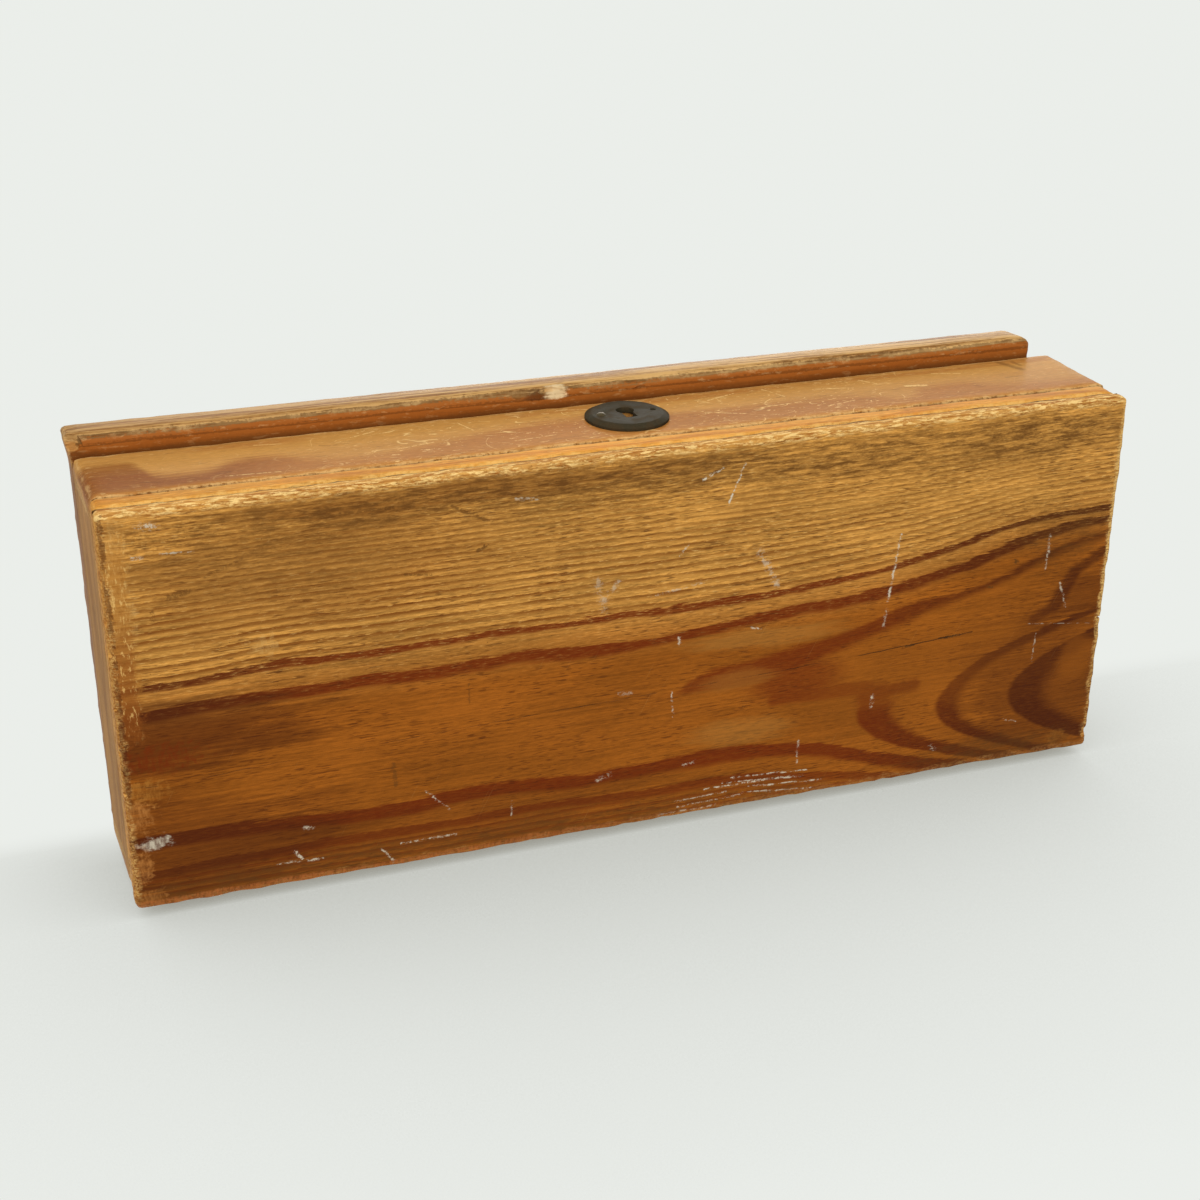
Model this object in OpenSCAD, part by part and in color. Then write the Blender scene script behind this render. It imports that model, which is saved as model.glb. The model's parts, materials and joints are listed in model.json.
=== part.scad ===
// Long, flat pine box with a hinged lid and a small box lock.
// Millimetres, Z up, lid on top, lock front towards -Y.
// The origin is the middle of the base board's underside.

/* [Base board] */
// Length of the base board
base_l = 250; // [230:1:320]
// Depth of the base board and of the carcase, front to back
base_d = 96; // [86:1:140]
// Thickness of the base board
base_t = 4.5; // [3.5:0.1:8]
// Rounding of the base board's worn lower edges
base_edge_r = 1.6; // [0.4:0.1:2.4]
// Rounding of the base board's corners, seen from below
base_corner_r = 3; // [1:0.1:6]
// Step from each end of the base board in to the carcase
base_reveal = 0.5; // [0.1:0.1:2]
// Softened arrises where two boards meet
joint_arris_r = 0.4; // [0.1:0.1:0.8]

/* [Bottom panel] */
// Thickness of the bottom panel
panel_t = 6.2; // [4:0.1:12]
// Rounding of the bottom panel's worn edges
panel_edge_r = 1; // [0.2:0.1:1.8]

/* [Walls] */
// Height of the four walls
wall_h = 26.6; // [24:0.1:60]
// Thickness of the four walls
wall_t = 8; // [7.5:0.1:12]
// Depth of the rebates in the front and back walls that take the end walls
rebate_d = 4; // [2:0.1:5]
// Rounding of the carcase's outer corners
wall_corner_r = 1.8; // [0.4:0.1:2.4]
// Rounding of the rim's worn outer edge
rim_edge_r = 0.9; // [0.2:0.1:1]

/* [Lid] */
// Length of the lid
lid_l = 245; // [225:1:300]
// Thickness of the lid
lid_t = 10; // [8:0.1:16]
// Overhang of the lid past the front wall
lid_overhang = 5; // [0.5:0.1:12]
// Sideways place of the lid's middle
lid_shift = -3.4; // [-5:0.1:5]
// Gap between the rim and the closed lid
lid_gap = 0.3; // [0.2:0.05:0.8]
// Rounding of the lid's worn front edge, upper and lower
lid_nose_r = 2.6; // [0.5:0.1:3.5]
// Rounding of the lid's other edges
lid_edge_r = 1.4; // [0.3:0.1:2.5]
// Rounding of the lid's front corners, seen from above
lid_corner_r = 2.6; // [0.5:0.1:6]

/* [Hinges] */
// Distance between the middles of the two hinges
hinge_span = 160; // [100:1:180]
// Length of a hinge
hinge_l = 25; // [20:0.5:36]
// Thickness of a hinge leaf
leaf_t = 1; // [0.7:0.1:1.4]
// Wood left between a leaf and the inside of the wall
leaf_margin = 1; // [0.4:0.1:2]
// Number of knuckles on a hinge
knuckles = 5; // [3, 5, 7]
// Outer radius of a knuckle
knuckle_r = 1.8; // [1.5:0.05:2.2]
// Gap between two knuckles
knuckle_gap = 0.2; // [0.1:0.05:0.5]
// Distance of the pin's axis behind the back wall
axis_out = 0.6; // [0.3:0.05:1.2]
// Radius of a hinge pin
hinge_pin_r = 0.9; // [0.6:0.05:1.1]
// Radius of the riveted heads of a hinge pin
pin_head_r = 1.4; // [1.3:0.05:1.5]
// Thickness of the riveted heads of a hinge pin
pin_head_t = 0.5; // [0.3:0.05:1]
// Distance of a leaf's screws from the ends of the leaf
leaf_screw_inset = 5; // [3:0.1:7]

/* [Lock] */
// Distance of the key's axis from the middle of the front, towards the right end
lock_x = 2.3; // [-20:0.1:20]
// Drop from the rim to the key's axis
key_drop = 11.8; // [11:0.1:12.5]
// Width of the lock's plate and selvedge
lock_w = 44; // [42:0.5:60]
// Height of the lock's plate
plate_h = 21; // [20.5:0.1:23]
// Thickness of the plate and the selvedge
plate_t = 1.2; // [0.8:0.1:1.4]
// Depth of the selvedge along the rim
selvedge_d = 6.6; // [6.2:0.1:7]
// Width of the case
case_w = 32; // [31:0.1:35]
// Height of the case below the selvedge
case_h = 18.6; // [18:0.1:19]
// Depth of the case behind the plate
case_d = 4.4; // [4.2:0.1:4.6]
// Thickness of the case's sheet
case_t = 0.8; // [0.5:0.1:1]
// Height of the bolt
bolt_h = 3.4; // [3.2:0.1:3.8]
// Thickness of the bolt
bolt_t = 2.2; // [1.6:0.1:2.4]
// Travel of the bolt
bolt_throw = 3; // [2.4:0.1:3.2]
// Width of the talon that the key's bit turns in
talon_w = 4; // [3:0.1:4.2]
// Depth of the talon
talon_d = 1.6; // [1:0.1:1.8]
// Radius of the pins that guide the bolt
guide_r = 0.7; // [0.5:0.05:0.8]
// Distance of the guide pins from the bolt's ends
guide_inset = 2.3; // [2:0.1:2.5]
// Radius of the pin that the key turns on
drill_pin_r = 1; // [0.7:0.05:1.2]
// Radius of the rivets that hold the case
rivet_r = 0.8; // [0.5:0.05:1]
// Distance of the rivets from the case's sides
rivet_inset = 2.2; // [1.8:0.1:3]
// Room for the spring above the bolt
spring_room = 1.9; // [1.6:0.1:2.2]
// Thickness of the spring
spring_t = 0.35; // [0.2:0.05:0.5]
// Span of the spring
spring_span = 12; // [9:0.5:14]
// Distance of the lock's screws from the ends of the plate
lock_screw_inset = 3; // [2.4:0.1:3.2]
// Distance of the lock's screws from its rim and its lower edge
lock_screw_drop = 5; // [3.4:0.1:6]

/* [Link plate] */
// Width of the link plate
link_w = 40; // [39:0.5:56]
// Depth of the link plate, front to back
link_d = 6.2; // [5:0.1:7]
// Thickness of the link plate
link_t = 1.2; // [0.8:0.1:1.6]
// Thickness of the hook
hook_t = 1.8; // [1.2:0.1:2]
// Width of the hook's shank
shank_w = 3; // [2.4:0.1:3.2]
// Height of the hook's toe
toe_h = 2; // [1.4:0.1:2.6]
// Distance of the link plate's screws from its ends
link_screw_inset = 2.5; // [2.2:0.1:2.8]

/* [Escutcheon] */
// Radius of the round keyhole plate
esc_r = 10; // [9:0.1:12]
// Thickness of the keyhole plate
esc_t = 1.4; // [0.8:0.1:2]
// Bevel of the keyhole plate's rim
esc_bevel = 0.7; // [0.2:0.1:0.7]
// Distance from the middle of the keyhole plate up to the key's axis
key_rise = 1.5; // [0.5:0.1:2.5]
// Radius of the keyhole's round part
key_round_r = 2.2; // [1.8:0.1:2.6]
// Width of the keyhole's slot
key_slot_w = 2.8; // [2:0.1:3.4]
// Length of the keyhole's slot, from the key's axis
key_slot_l = 5; // [4:0.1:6]
// Distance of the keyhole plate's pins from the key's axis, sideways
esc_pin_x = 6.5; // [5:0.1:7.4]
// Radius of the keyhole plate's pins
esc_pin_r = 0.7; // [0.5:0.05:0.9]
// Wood left between the points of the keyhole plate's pins and the lock's case
esc_pin_web = 0.4; // [0.2:0.1:0.8]
// Radius of a pin's round head
esc_head_r = 1.2; // [1.1:0.05:1.6]
// Height of a pin's round head
esc_head_h = 0.6; // [0.4:0.05:0.8]
// Depth of the broken pin's stump below the plate's face
stump_sunk = 0.6; // [0.2:0.1:1]

/* [Screws and nails] */
// Radius of a screw's head
screw_head_r = 1.8; // [1.5:0.05:2]
// Height of a screw's countersunk head
screw_head_h = 1; // [0.8:0.05:1.2]
// Radius of a screw's shank
screw_r = 0.85; // [0.6:0.05:1]
// Length of a screw
screw_l = 6; // [4:0.1:6.4]
// Width of the slot in a screw's head
slot_w = 0.4; // [0.3:0.05:0.6]
// Depth of the slot in a screw's head
slot_d = 0.45; // [0.2:0.05:0.6]
// Radius of a nail's shank
nail_r = 0.7; // [0.5:0.05:1]
// Length of a nail
nail_l = 16; // [14:0.5:22]
// Radius of a nail's head
nail_head_r = 1.6; // [1.3:0.05:2]
// Thickness of a nail's head
nail_head_t = 0.8; // [0.4:0.05:1.2]
// Distance of the outer nails from the ends of the long walls
nail_inset = 15; // [12:0.5:25]
// Number of nails along each long wall
long_nails = 4; // [2, 4]
// Distance of the end walls' nails from the front and back
end_nail_inset = 23; // [14:0.5:30]

/* [Clearances] */
// Room round a let-in leaf, plate or case
let_in = 0.1; // [0.05:0.05:0.3]
// Radial room round a screw, nail or fixed pin
hole_room = 0.03; // [0.02:0.01:0.1]
// Radial running clearance of a hinge pin
hinge_room = 0.05; // [0.02:0.01:0.1]
// Running clearance of the bolt on its guide pins
guide_room = 0.06; // [0.02:0.01:0.1]
// Room round a turning knuckle
knuckle_room = 0.3; // [0.2:0.05:0.5]
// Room between the bolt and the plate, the hook and the spring
bolt_room = 0.3; // [0.2:0.05:0.4]
// Room at the bolt's tip when it is withdrawn
tip_room = 0.5; // [0.3:0.1:0.8]
// Room beside the hook in the case
hook_room = 1.2; // [0.6:0.1:1.4]
// Room between the spring and what it bears on
spring_gap = 0.1; // [0.05:0.01:0.2]
// Room in front of the hook, which swings forward as the lid lifts
swing_room = 0.9; // [0.7:0.1:1]
// Room round the keyhole in the wood
key_room = 0.3; // [0.1:0.1:0.6]

/* [Hidden] */
$fn = 64;

// How far a cut runs past the face that it opens
over = 1;

// Heights of the stacked boards
panel_z = base_t;
wall_z = panel_z + panel_t;
rim_z = wall_z + wall_h;
lid_z = rim_z + lid_gap;

// Faces of the carcase
carcase_l = base_l - 2 * base_reveal;
front_y = -base_d / 2;
back_y = base_d / 2;
inner_y = front_y + wall_t;
web_t = wall_t - rebate_d;
lid_front_y = front_y - lid_overhang;
lid_d = back_y - lid_front_y;

// Hinge, measured from the pin's axis
axis_y = back_y + axis_out;
axis_z = rim_z + lid_gap / 2;
leaf_reach = wall_t + axis_out - leaf_margin;
leaf_edge = knuckle_r + knuckle_room;
knuckle_l = (hinge_l - (knuckles - 1) * knuckle_gap) / knuckles;
leaf_screw_x = hinge_l / 2 - leaf_screw_inset;
leaf_screw_y = -(leaf_reach + leaf_edge) / 2;
pin_l = hinge_l + 2 * knuckle_gap;
groove_l = pin_l + 2 * (pin_head_t + knuckle_room);

// Lock, measured from the rim and from the key's axis
key_z = rim_z - key_drop;
plate_y = inner_y - plate_t;
case_y = plate_y - case_d;
case_top_z = rim_z - plate_t;
case_z = case_top_z - case_h;
bolt_y = plate_y - bolt_room - bolt_t;
bolt_mid_y = bolt_y + bolt_t / 2;
bolt_top_z = case_top_z - spring_room;
bolt_z = bolt_top_z - bolt_h;
toe_top_z = bolt_z - bolt_room;
toe_z = toe_top_z - toe_h;
hook_x = lock_x - case_w / 2 + case_t + hook_room;
toe_reach = bolt_throw + bolt_room;
toe_tip_x = hook_x + shank_w + toe_reach;
bolt_x = toe_tip_x + tip_room;
bolt_tail_x = lock_x + case_w / 2 - case_t - bolt_throw - bolt_room;
guide_xs = [bolt_x + guide_inset, bolt_tail_x - guide_inset - bolt_throw];
guide_z = bolt_z + bolt_h / 2;
rivet_x = case_w / 2 - case_t - rivet_inset;
rivet_z = case_z + case_t + rivet_inset;
lock_screw_x = lock_w / 2 - lock_screw_inset;
lock_screw_zs = [rim_z - lock_screw_drop, rim_z - plate_h + lock_screw_drop];
link_y = inner_y - link_d;
link_screw_x = link_w / 2 - link_screw_inset;

// Spring, bowed between the bolt and the selvedge
spring_rise = spring_room - 2 * spring_gap - spring_t;
spring_inner_r = (pow(spring_span / 2, 2) + pow(spring_rise, 2)) / (2 * spring_rise);
spring_z = bolt_top_z + spring_gap;
spring_x = lock_x + bolt_throw / 2;

// Keyhole plate
esc_z = key_z - key_rise;
esc_face_y = front_y - esc_t;
esc_pin_y = case_y - let_in - esc_pin_web;

// Nails
long_nail_x = carcase_l / 2 - nail_inset;
long_nail_y = base_d / 2 - wall_t / 2;
end_nail_x = carcase_l / 2 - wall_t / 2;
end_nail_y = base_d / 2 - end_nail_inset;

pine_base = [0.62, 0.40, 0.17];
pine_panel = [0.80, 0.53, 0.22];
pine_wall = [0.60, 0.36, 0.18];
pine_lid = [0.66, 0.47, 0.28];
dark_iron = [0.17, 0.16, 0.15];
worn_steel = [0.45, 0.43, 0.40];
old_brass = [0.63, 0.49, 0.24];

// Turns what is drawn along Z so that it runs along X (axis 0), Y (axis 1) or Z (axis 2)
module turn_to(axis) {
    if (axis == 0) rotate([90, 0, 90]) children();
    if (axis == 1) rotate([90, 0, 90]) rotate([90, 0, 90]) children();
    if (axis == 2) children();
}

// Waste outside a quarter round along Z, with the solid towards +X and +Y of the corner
module round_waste(radius, length) {
    translate([0, 0, -over])
        linear_extrude(length + 2 * over)
            difference() {
                translate([-over, -over]) square(radius + over);
                translate([radius, radius]) circle(radius);
            }
}

// Waste of the four edges that run along Z on a bar with this section
module edge_waste(section, length, radii) {
    corners = [[0, 0], [section[0], 0], section, [0, section[1]]];
    for (corner = [0 : 3])
        if (radii[corner] > 0)
            translate(corners[corner])
                rotate(90 * corner)
                    round_waste(radii[corner], length);
}

// Board with rounded edges. Radii along X: front lower, back lower, back upper, front upper.
// Along Y: left lower, left upper, right upper, right lower.
// Along Z: left front, right front, right back, left back.
module soft_board(size, along_x, along_y, along_z) {
    difference() {
        cube(size);
        turn_to(0) edge_waste([size[1], size[2]], size[0], along_x);
        turn_to(1) edge_waste([size[2], size[0]], size[1], along_y);
        turn_to(2) edge_waste([size[0], size[1]], size[2], along_z);
    }
}

// Profile of a countersunk screw, grown by some room: head at Z 0, point downwards
module screw_body(room = 0) {
    point_h = screw_r;
    rotate_extrude()
        polygon([
            [0, room], [screw_head_r + room, room], [screw_head_r + room, 0],
            [screw_r + room, -screw_head_h], [screw_r + room, -screw_l + point_h],
            [0, -screw_l - room]
        ]);
}

module screw() {
    difference() {
        screw_body();
        translate([-screw_head_r - over, -slot_w / 2, -slot_d])
            cube([2 * (screw_head_r + over), slot_w, slot_d + over]);
    }
}

// Hole for a screw, open above its head
module screw_hole() {
    screw_body(hole_room);
    cylinder(r = screw_head_r + hole_room, h = over);
}

// Nail, grown by some room: head at Z 0, point upwards
module nail(room = 0) {
    translate([0, 0, -room]) cylinder(r = nail_head_r + room, h = nail_head_t + room);
    cylinder(r = nail_r + room, h = nail_l + room);
}

// Puts a copy at each nail's place under the bottom panel
module at_nails() {
    for (side = [-1, 1]) {
        for (i = [0 : long_nails - 1])
            translate([long_nail_x * (2 * i / (long_nails - 1) - 1), side * long_nail_y, panel_z]) children();
        for (end = [-1, 1])
            translate([end * end_nail_x, side * end_nail_y, panel_z]) children();
    }
}

// Round bar along Y between two depths, at the place x, z
module cross_pin(x, z, y_from, y_to, radius) {
    translate([x, y_from, z])
        rotate([-90, 0, 0])
            cylinder(r = radius, h = y_to - y_from);
}

// Keyhole along Y between two depths, grown by some room
module keyhole(y_from, y_to, room = 0) {
    cross_pin(lock_x, key_z, y_from, y_to, key_round_r + room);
    translate([lock_x - key_slot_w / 2 - room, y_from, key_z - key_slot_l - room])
        cube([key_slot_w + 2 * room, y_to - y_from, key_slot_l + room]);
}

// Puts a copy on each hinge's axis, with Y 0 on the axis
module at_hinge(side) {
    translate([side * hinge_span / 2, axis_y, axis_z]) children();
}

// Puts a copy at each screw of one leaf, head on the leaf's free face, pointing down
module at_leaf_screws() {
    for (side = [-1, 1])
        translate([side * leaf_screw_x, leaf_screw_y, -lid_gap / 2]) children();
}

// Leaf of the box side, with every other knuckle from the given one. The lid's leaf is its mirror image.
module hinge_leaf(first) {
    difference() {
        union() {
            translate([-hinge_l / 2, -leaf_reach, -lid_gap / 2 - leaf_t])
                cube([hinge_l, leaf_reach - leaf_edge, leaf_t]);
            for (i = [first : 2 : knuckles - 1])
                translate([-hinge_l / 2 + i * (knuckle_l + knuckle_gap), 0, 0]) {
                    translate([0, -leaf_edge - knuckle_room, -lid_gap / 2 - leaf_t])
                        cube([knuckle_l, leaf_edge + knuckle_room, leaf_t]);
                    rotate([0, 90, 0]) cylinder(r = knuckle_r, h = knuckle_l);
                }
        }
        translate([-hinge_l, 0, 0])
            rotate([0, 90, 0]) cylinder(r = hinge_pin_r + hinge_room, h = 2 * hinge_l);
        at_leaf_screws() screw_hole();
    }
}

// Pocket in the box side for a leaf, its screws and the knuckles
module hinge_pocket() {
    translate([-hinge_l / 2 - let_in, -leaf_reach - let_in, -lid_gap / 2 - leaf_t])
        cube([hinge_l + 2 * let_in, leaf_reach + over, leaf_t + over]);
    translate([-groove_l / 2, 0, 0])
        rotate([0, 90, 0]) cylinder(r = knuckle_r + knuckle_room, h = groove_l);
    at_leaf_screws() screw_hole();
}

// Pin with a riveted head at each end
module hinge_pin() {
    translate([-pin_l / 2, 0, 0])
        rotate([0, 90, 0]) cylinder(r = hinge_pin_r, h = pin_l);
    for (side = [0, 1])
        mirror([side, 0, 0])
            translate([pin_l / 2, 0, 0])
                rotate([0, 90, 0]) cylinder(r1 = pin_head_r, r2 = hinge_pin_r, h = pin_head_t);
}

// Puts a copy at each screw of the lock's plate, pointing to the front
module at_lock_screws() {
    for (side = [-1, 1], z = lock_screw_zs)
        translate([lock_x + side * lock_screw_x, inner_y, z])
            rotate([-90, 0, 0]) children();
}

// Puts a copy at each screw of the link plate, pointing up
module at_link_screws() {
    for (side = [-1, 1])
        translate([lock_x + side * link_screw_x, link_y + link_d / 2, lid_z])
            mirror([0, 0, 1]) children();
}

// Space that the lock takes in the front wall
module lock_mortise() {
    translate([lock_x - lock_w / 2 - let_in, plate_y, rim_z - plate_h - let_in])
        cube([lock_w + 2 * let_in, plate_t + over, plate_h + let_in + over]);
    translate([lock_x - lock_w / 2 - let_in, inner_y - selvedge_d - let_in, case_top_z])
        cube([lock_w + 2 * let_in, selvedge_d + over, plate_t + over]);
    translate([lock_x - case_w / 2 - let_in, case_y - let_in, case_z - let_in])
        cube([case_w + 2 * let_in, case_d + over, case_h + over]);
    at_lock_screws() screw_hole();
}

// Long wall with rebates for the end walls on its inner side, drawn as the front wall
module long_wall() {
    difference() {
        translate([-carcase_l / 2, front_y, wall_z])
            soft_board(
                [carcase_l, wall_t, wall_h],
                [joint_arris_r, 0, 0, rim_edge_r],
                [joint_arris_r, rim_edge_r, rim_edge_r, joint_arris_r],
                [wall_corner_r, wall_corner_r, 0, 0]
            );
        for (side = [0, 1])
            mirror([side, 0, 0])
                translate([carcase_l / 2 - wall_t, front_y + web_t, wall_z - over])
                    cube([wall_t + over, rebate_d + over, wall_h + 2 * over]);
    }
}

// Short wall between the rebates of the long walls, drawn as the left end
module end_wall() {
    translate([-carcase_l / 2, front_y + web_t, wall_z])
        soft_board(
            [wall_t, base_d - 2 * web_t, wall_h],
            [0, 0, 0, 0],
            [joint_arris_r, rim_edge_r, 0, 0],
            [0, 0, 0, 0]
        );
}

module base_board() {
    color(pine_base)
        translate([-base_l / 2, -base_d / 2, 0])
            soft_board(
                [base_l, base_d, base_t],
                [base_edge_r, base_edge_r, joint_arris_r, joint_arris_r],
                [base_edge_r, joint_arris_r, joint_arris_r, base_edge_r],
                [base_corner_r, base_corner_r, base_corner_r, base_corner_r]
            );
}

module bottom_panel() {
    edges = [panel_edge_r, panel_edge_r, panel_edge_r, panel_edge_r];
    corners = [wall_corner_r, wall_corner_r, wall_corner_r, wall_corner_r];
    color(pine_panel)
        difference() {
            translate([-carcase_l / 2, front_y, panel_z])
                soft_board([carcase_l, base_d, panel_t], edges, edges, corners);
            at_nails() nail(hole_room);
        }
}

module front_wall() {
    color(pine_wall)
        difference() {
            long_wall();
            lock_mortise();
            keyhole(front_y - over, inner_y, key_room);
            for (side = [-1, 1])
                cross_pin(
                    lock_x + side * esc_pin_x, esc_z,
                    esc_face_y - over, esc_pin_y + hole_room, esc_pin_r + hole_room
                );
            at_nails() nail(hole_room);
        }
}

module back_wall() {
    color(pine_wall)
        difference() {
            mirror([0, 1, 0]) long_wall();
            for (side = [-1, 1]) at_hinge(side) hinge_pocket();
            at_nails() nail(hole_room);
        }
}

module left_end() {
    color(pine_wall)
        difference() {
            end_wall();
            at_nails() nail(hole_room);
        }
}

module right_end() {
    color(pine_wall)
        difference() {
            mirror([1, 0, 0]) end_wall();
            at_nails() nail(hole_room);
        }
}

module panel_nails() {
    color(dark_iron) at_nails() nail();
}

module lid_board() {
    color(pine_lid)
        difference() {
            translate([lid_shift - lid_l / 2, lid_front_y, lid_z])
                soft_board(
                    [lid_l, lid_d, lid_t],
                    [lid_nose_r, joint_arris_r, lid_edge_r, lid_nose_r],
                    [lid_edge_r, lid_edge_r, lid_edge_r, lid_edge_r],
                    [lid_corner_r, lid_corner_r, lid_edge_r, lid_edge_r]
                );
            for (side = [-1, 1]) at_hinge(side) mirror([0, 0, 1]) hinge_pocket();
            translate([lock_x - link_w / 2 - let_in, link_y - let_in, lid_z - over])
                cube([link_w + 2 * let_in, link_d + 2 * let_in, link_t + over]);
            at_link_screws() screw_hole();
        }
}

module left_hinge_box_leaf() {
    color(dark_iron) at_hinge(-1) hinge_leaf(0);
}

module left_hinge_lid_leaf() {
    color(dark_iron) at_hinge(-1) mirror([0, 0, 1]) hinge_leaf(1);
}

module left_hinge_pin() {
    color(worn_steel) at_hinge(-1) hinge_pin();
}

module right_hinge_box_leaf() {
    color(dark_iron) at_hinge(1) hinge_leaf(0);
}

module right_hinge_lid_leaf() {
    color(dark_iron) at_hinge(1) mirror([0, 0, 1]) hinge_leaf(1);
}

module right_hinge_pin() {
    color(worn_steel) at_hinge(1) hinge_pin();
}

module hinge_box_screws() {
    color(worn_steel)
        for (side = [-1, 1]) at_hinge(side) at_leaf_screws() screw();
}

module hinge_lid_screws() {
    color(worn_steel)
        for (side = [-1, 1]) at_hinge(side) mirror([0, 0, 1]) at_leaf_screws() screw();
}

module lock_plate() {
    color(dark_iron)
        difference() {
            union() {
                translate([lock_x - lock_w / 2, plate_y, rim_z - plate_h])
                    cube([lock_w, plate_t, plate_h]);
                translate([lock_x - lock_w / 2, inner_y - selvedge_d, case_top_z])
                    cube([lock_w, selvedge_d, plate_t]);
            }
            translate([hook_x - bolt_room, bolt_mid_y - hook_t / 2 - swing_room, case_top_z - over])
                cube([
                    toe_tip_x - hook_x + 2 * bolt_room,
                    hook_t + swing_room + bolt_room,
                    plate_t + 2 * over
                ]);
            for (x = guide_xs)
                cross_pin(x, guide_z, plate_y - over, inner_y + over, guide_r + hole_room);
            cross_pin(lock_x, key_z, plate_y - over, inner_y + over, drill_pin_r + hole_room);
            for (side = [-1, 1])
                cross_pin(lock_x + side * rivet_x, rivet_z, plate_y - over, inner_y + over, rivet_r + hole_room);
            at_lock_screws() screw_hole();
        }
}

module lock_case() {
    color(dark_iron)
        difference() {
            translate([lock_x - case_w / 2, case_y, case_z])
                cube([case_w, case_d, case_h]);
            translate([lock_x - case_w / 2 + case_t, case_y + case_t, case_z + case_t])
                cube([case_w - 2 * case_t, case_d + over, case_h + over]);
            keyhole(case_y - over, case_y + case_t + over);
            for (side = [-1, 1])
                cross_pin(lock_x + side * rivet_x, rivet_z, case_y - over, plate_y, rivet_r + hole_room);
        }
}

module lock_case_rivets() {
    color(worn_steel)
        for (side = [-1, 1])
            cross_pin(lock_x + side * rivet_x, rivet_z, case_y, inner_y, rivet_r);
}

module lock_bolt() {
    slot_r = guide_r + guide_room;
    color(old_brass)
        difference() {
            translate([bolt_x, bolt_y, bolt_z])
                cube([bolt_tail_x - bolt_x, bolt_t, bolt_h]);
            for (x = guide_xs) {
                for (end = [0, bolt_throw])
                    cross_pin(x + end, guide_z, bolt_y - over, bolt_y + bolt_t + over, slot_r);
                translate([x, bolt_y - over, guide_z - slot_r])
                    cube([bolt_throw, bolt_t + 2 * over, 2 * slot_r]);
            }
            translate([lock_x + bolt_throw / 2 - talon_w / 2, bolt_y - over, bolt_z - over])
                cube([talon_w, bolt_t + 2 * over, talon_d + over]);
        }
}

module lock_guide_pins() {
    color(worn_steel)
        for (x = guide_xs)
            cross_pin(x, guide_z, case_y + case_t + bolt_room, inner_y, guide_r);
}

module lock_drill_pin() {
    color(worn_steel)
        cross_pin(lock_x, key_z, case_y - bolt_room, inner_y, drill_pin_r);
}

module lock_spring() {
    outer_r = spring_inner_r + spring_t;
    color(worn_steel)
        translate([spring_x, bolt_y, spring_z + outer_r])
            intersection() {
                difference() {
                    cross_pin(0, 0, 0, bolt_t, outer_r);
                    cross_pin(0, 0, -over, bolt_t + over, spring_inner_r);
                }
                translate([-spring_span / 2, 0, -outer_r])
                    cube([spring_span, bolt_t, spring_rise + spring_t]);
            }
}

module lock_screws() {
    color(worn_steel) at_lock_screws() screw();
}

module link_plate() {
    toe_r = toe_h / 2;
    color(dark_iron)
        difference() {
            union() {
                translate([lock_x - link_w / 2, link_y, lid_z])
                    cube([link_w, link_d, link_t]);
                translate([hook_x, bolt_mid_y - hook_t / 2, toe_z])
                    cube([shank_w, hook_t, lid_z - toe_z + link_t / 2]);
                translate([hook_x, bolt_mid_y - hook_t / 2, toe_z])
                    cube([shank_w + toe_reach - toe_r, hook_t, toe_h]);
                cross_pin(
                    toe_tip_x - toe_r, toe_z + toe_r,
                    bolt_mid_y - hook_t / 2, bolt_mid_y + hook_t / 2, toe_r
                );
            }
            at_link_screws() screw_hole();
        }
}

module link_plate_screws() {
    color(worn_steel) at_link_screws() screw();
}

module escutcheon() {
    color(dark_iron)
        difference() {
            translate([lock_x, front_y, esc_z])
                rotate([90, 0, 0])
                    rotate_extrude()
                        polygon([
                            [0, 0], [esc_r, 0], [esc_r, esc_t - esc_bevel],
                            [esc_r - esc_bevel, esc_t], [0, esc_t]
                        ]);
            keyhole(esc_face_y - over, front_y + over);
            for (side = [-1, 1])
                cross_pin(
                    lock_x + side * esc_pin_x, esc_z,
                    esc_face_y - over, front_y + over, esc_pin_r + hole_room
                );
        }
}

// The left pin keeps its round head, the right one is broken off below the plate's face
module escutcheon_pins() {
    head_sphere_r = (pow(esc_head_r, 2) + pow(esc_head_h, 2)) / (2 * esc_head_h);
    color(worn_steel) {
        cross_pin(lock_x - esc_pin_x, esc_z, esc_face_y, esc_pin_y, esc_pin_r);
        translate([lock_x - esc_pin_x, esc_face_y, esc_z])
            intersection() {
                translate([0, head_sphere_r - esc_head_h, 0]) sphere(head_sphere_r);
                cross_pin(0, 0, -esc_head_h, 0, esc_head_r + over);
            }
        cross_pin(lock_x + esc_pin_x, esc_z, esc_face_y + stump_sunk, esc_pin_y, esc_pin_r);
    }
}

base_board();
bottom_panel();
front_wall();
back_wall();
left_end();
right_end();
panel_nails();
lid_board();
left_hinge_box_leaf();
left_hinge_lid_leaf();
left_hinge_pin();
right_hinge_box_leaf();
right_hinge_lid_leaf();
right_hinge_pin();
hinge_box_screws();
hinge_lid_screws();
lock_plate();
lock_case();
lock_case_rivets();
lock_bolt();
lock_guide_pins();
lock_drill_pin();
lock_spring();
lock_screws();
link_plate();
link_plate_screws();
escutcheon();
escutcheon_pins();
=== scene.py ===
import json
import math

import bmesh
import bpy
from mathutils import Matrix, Vector


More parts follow.
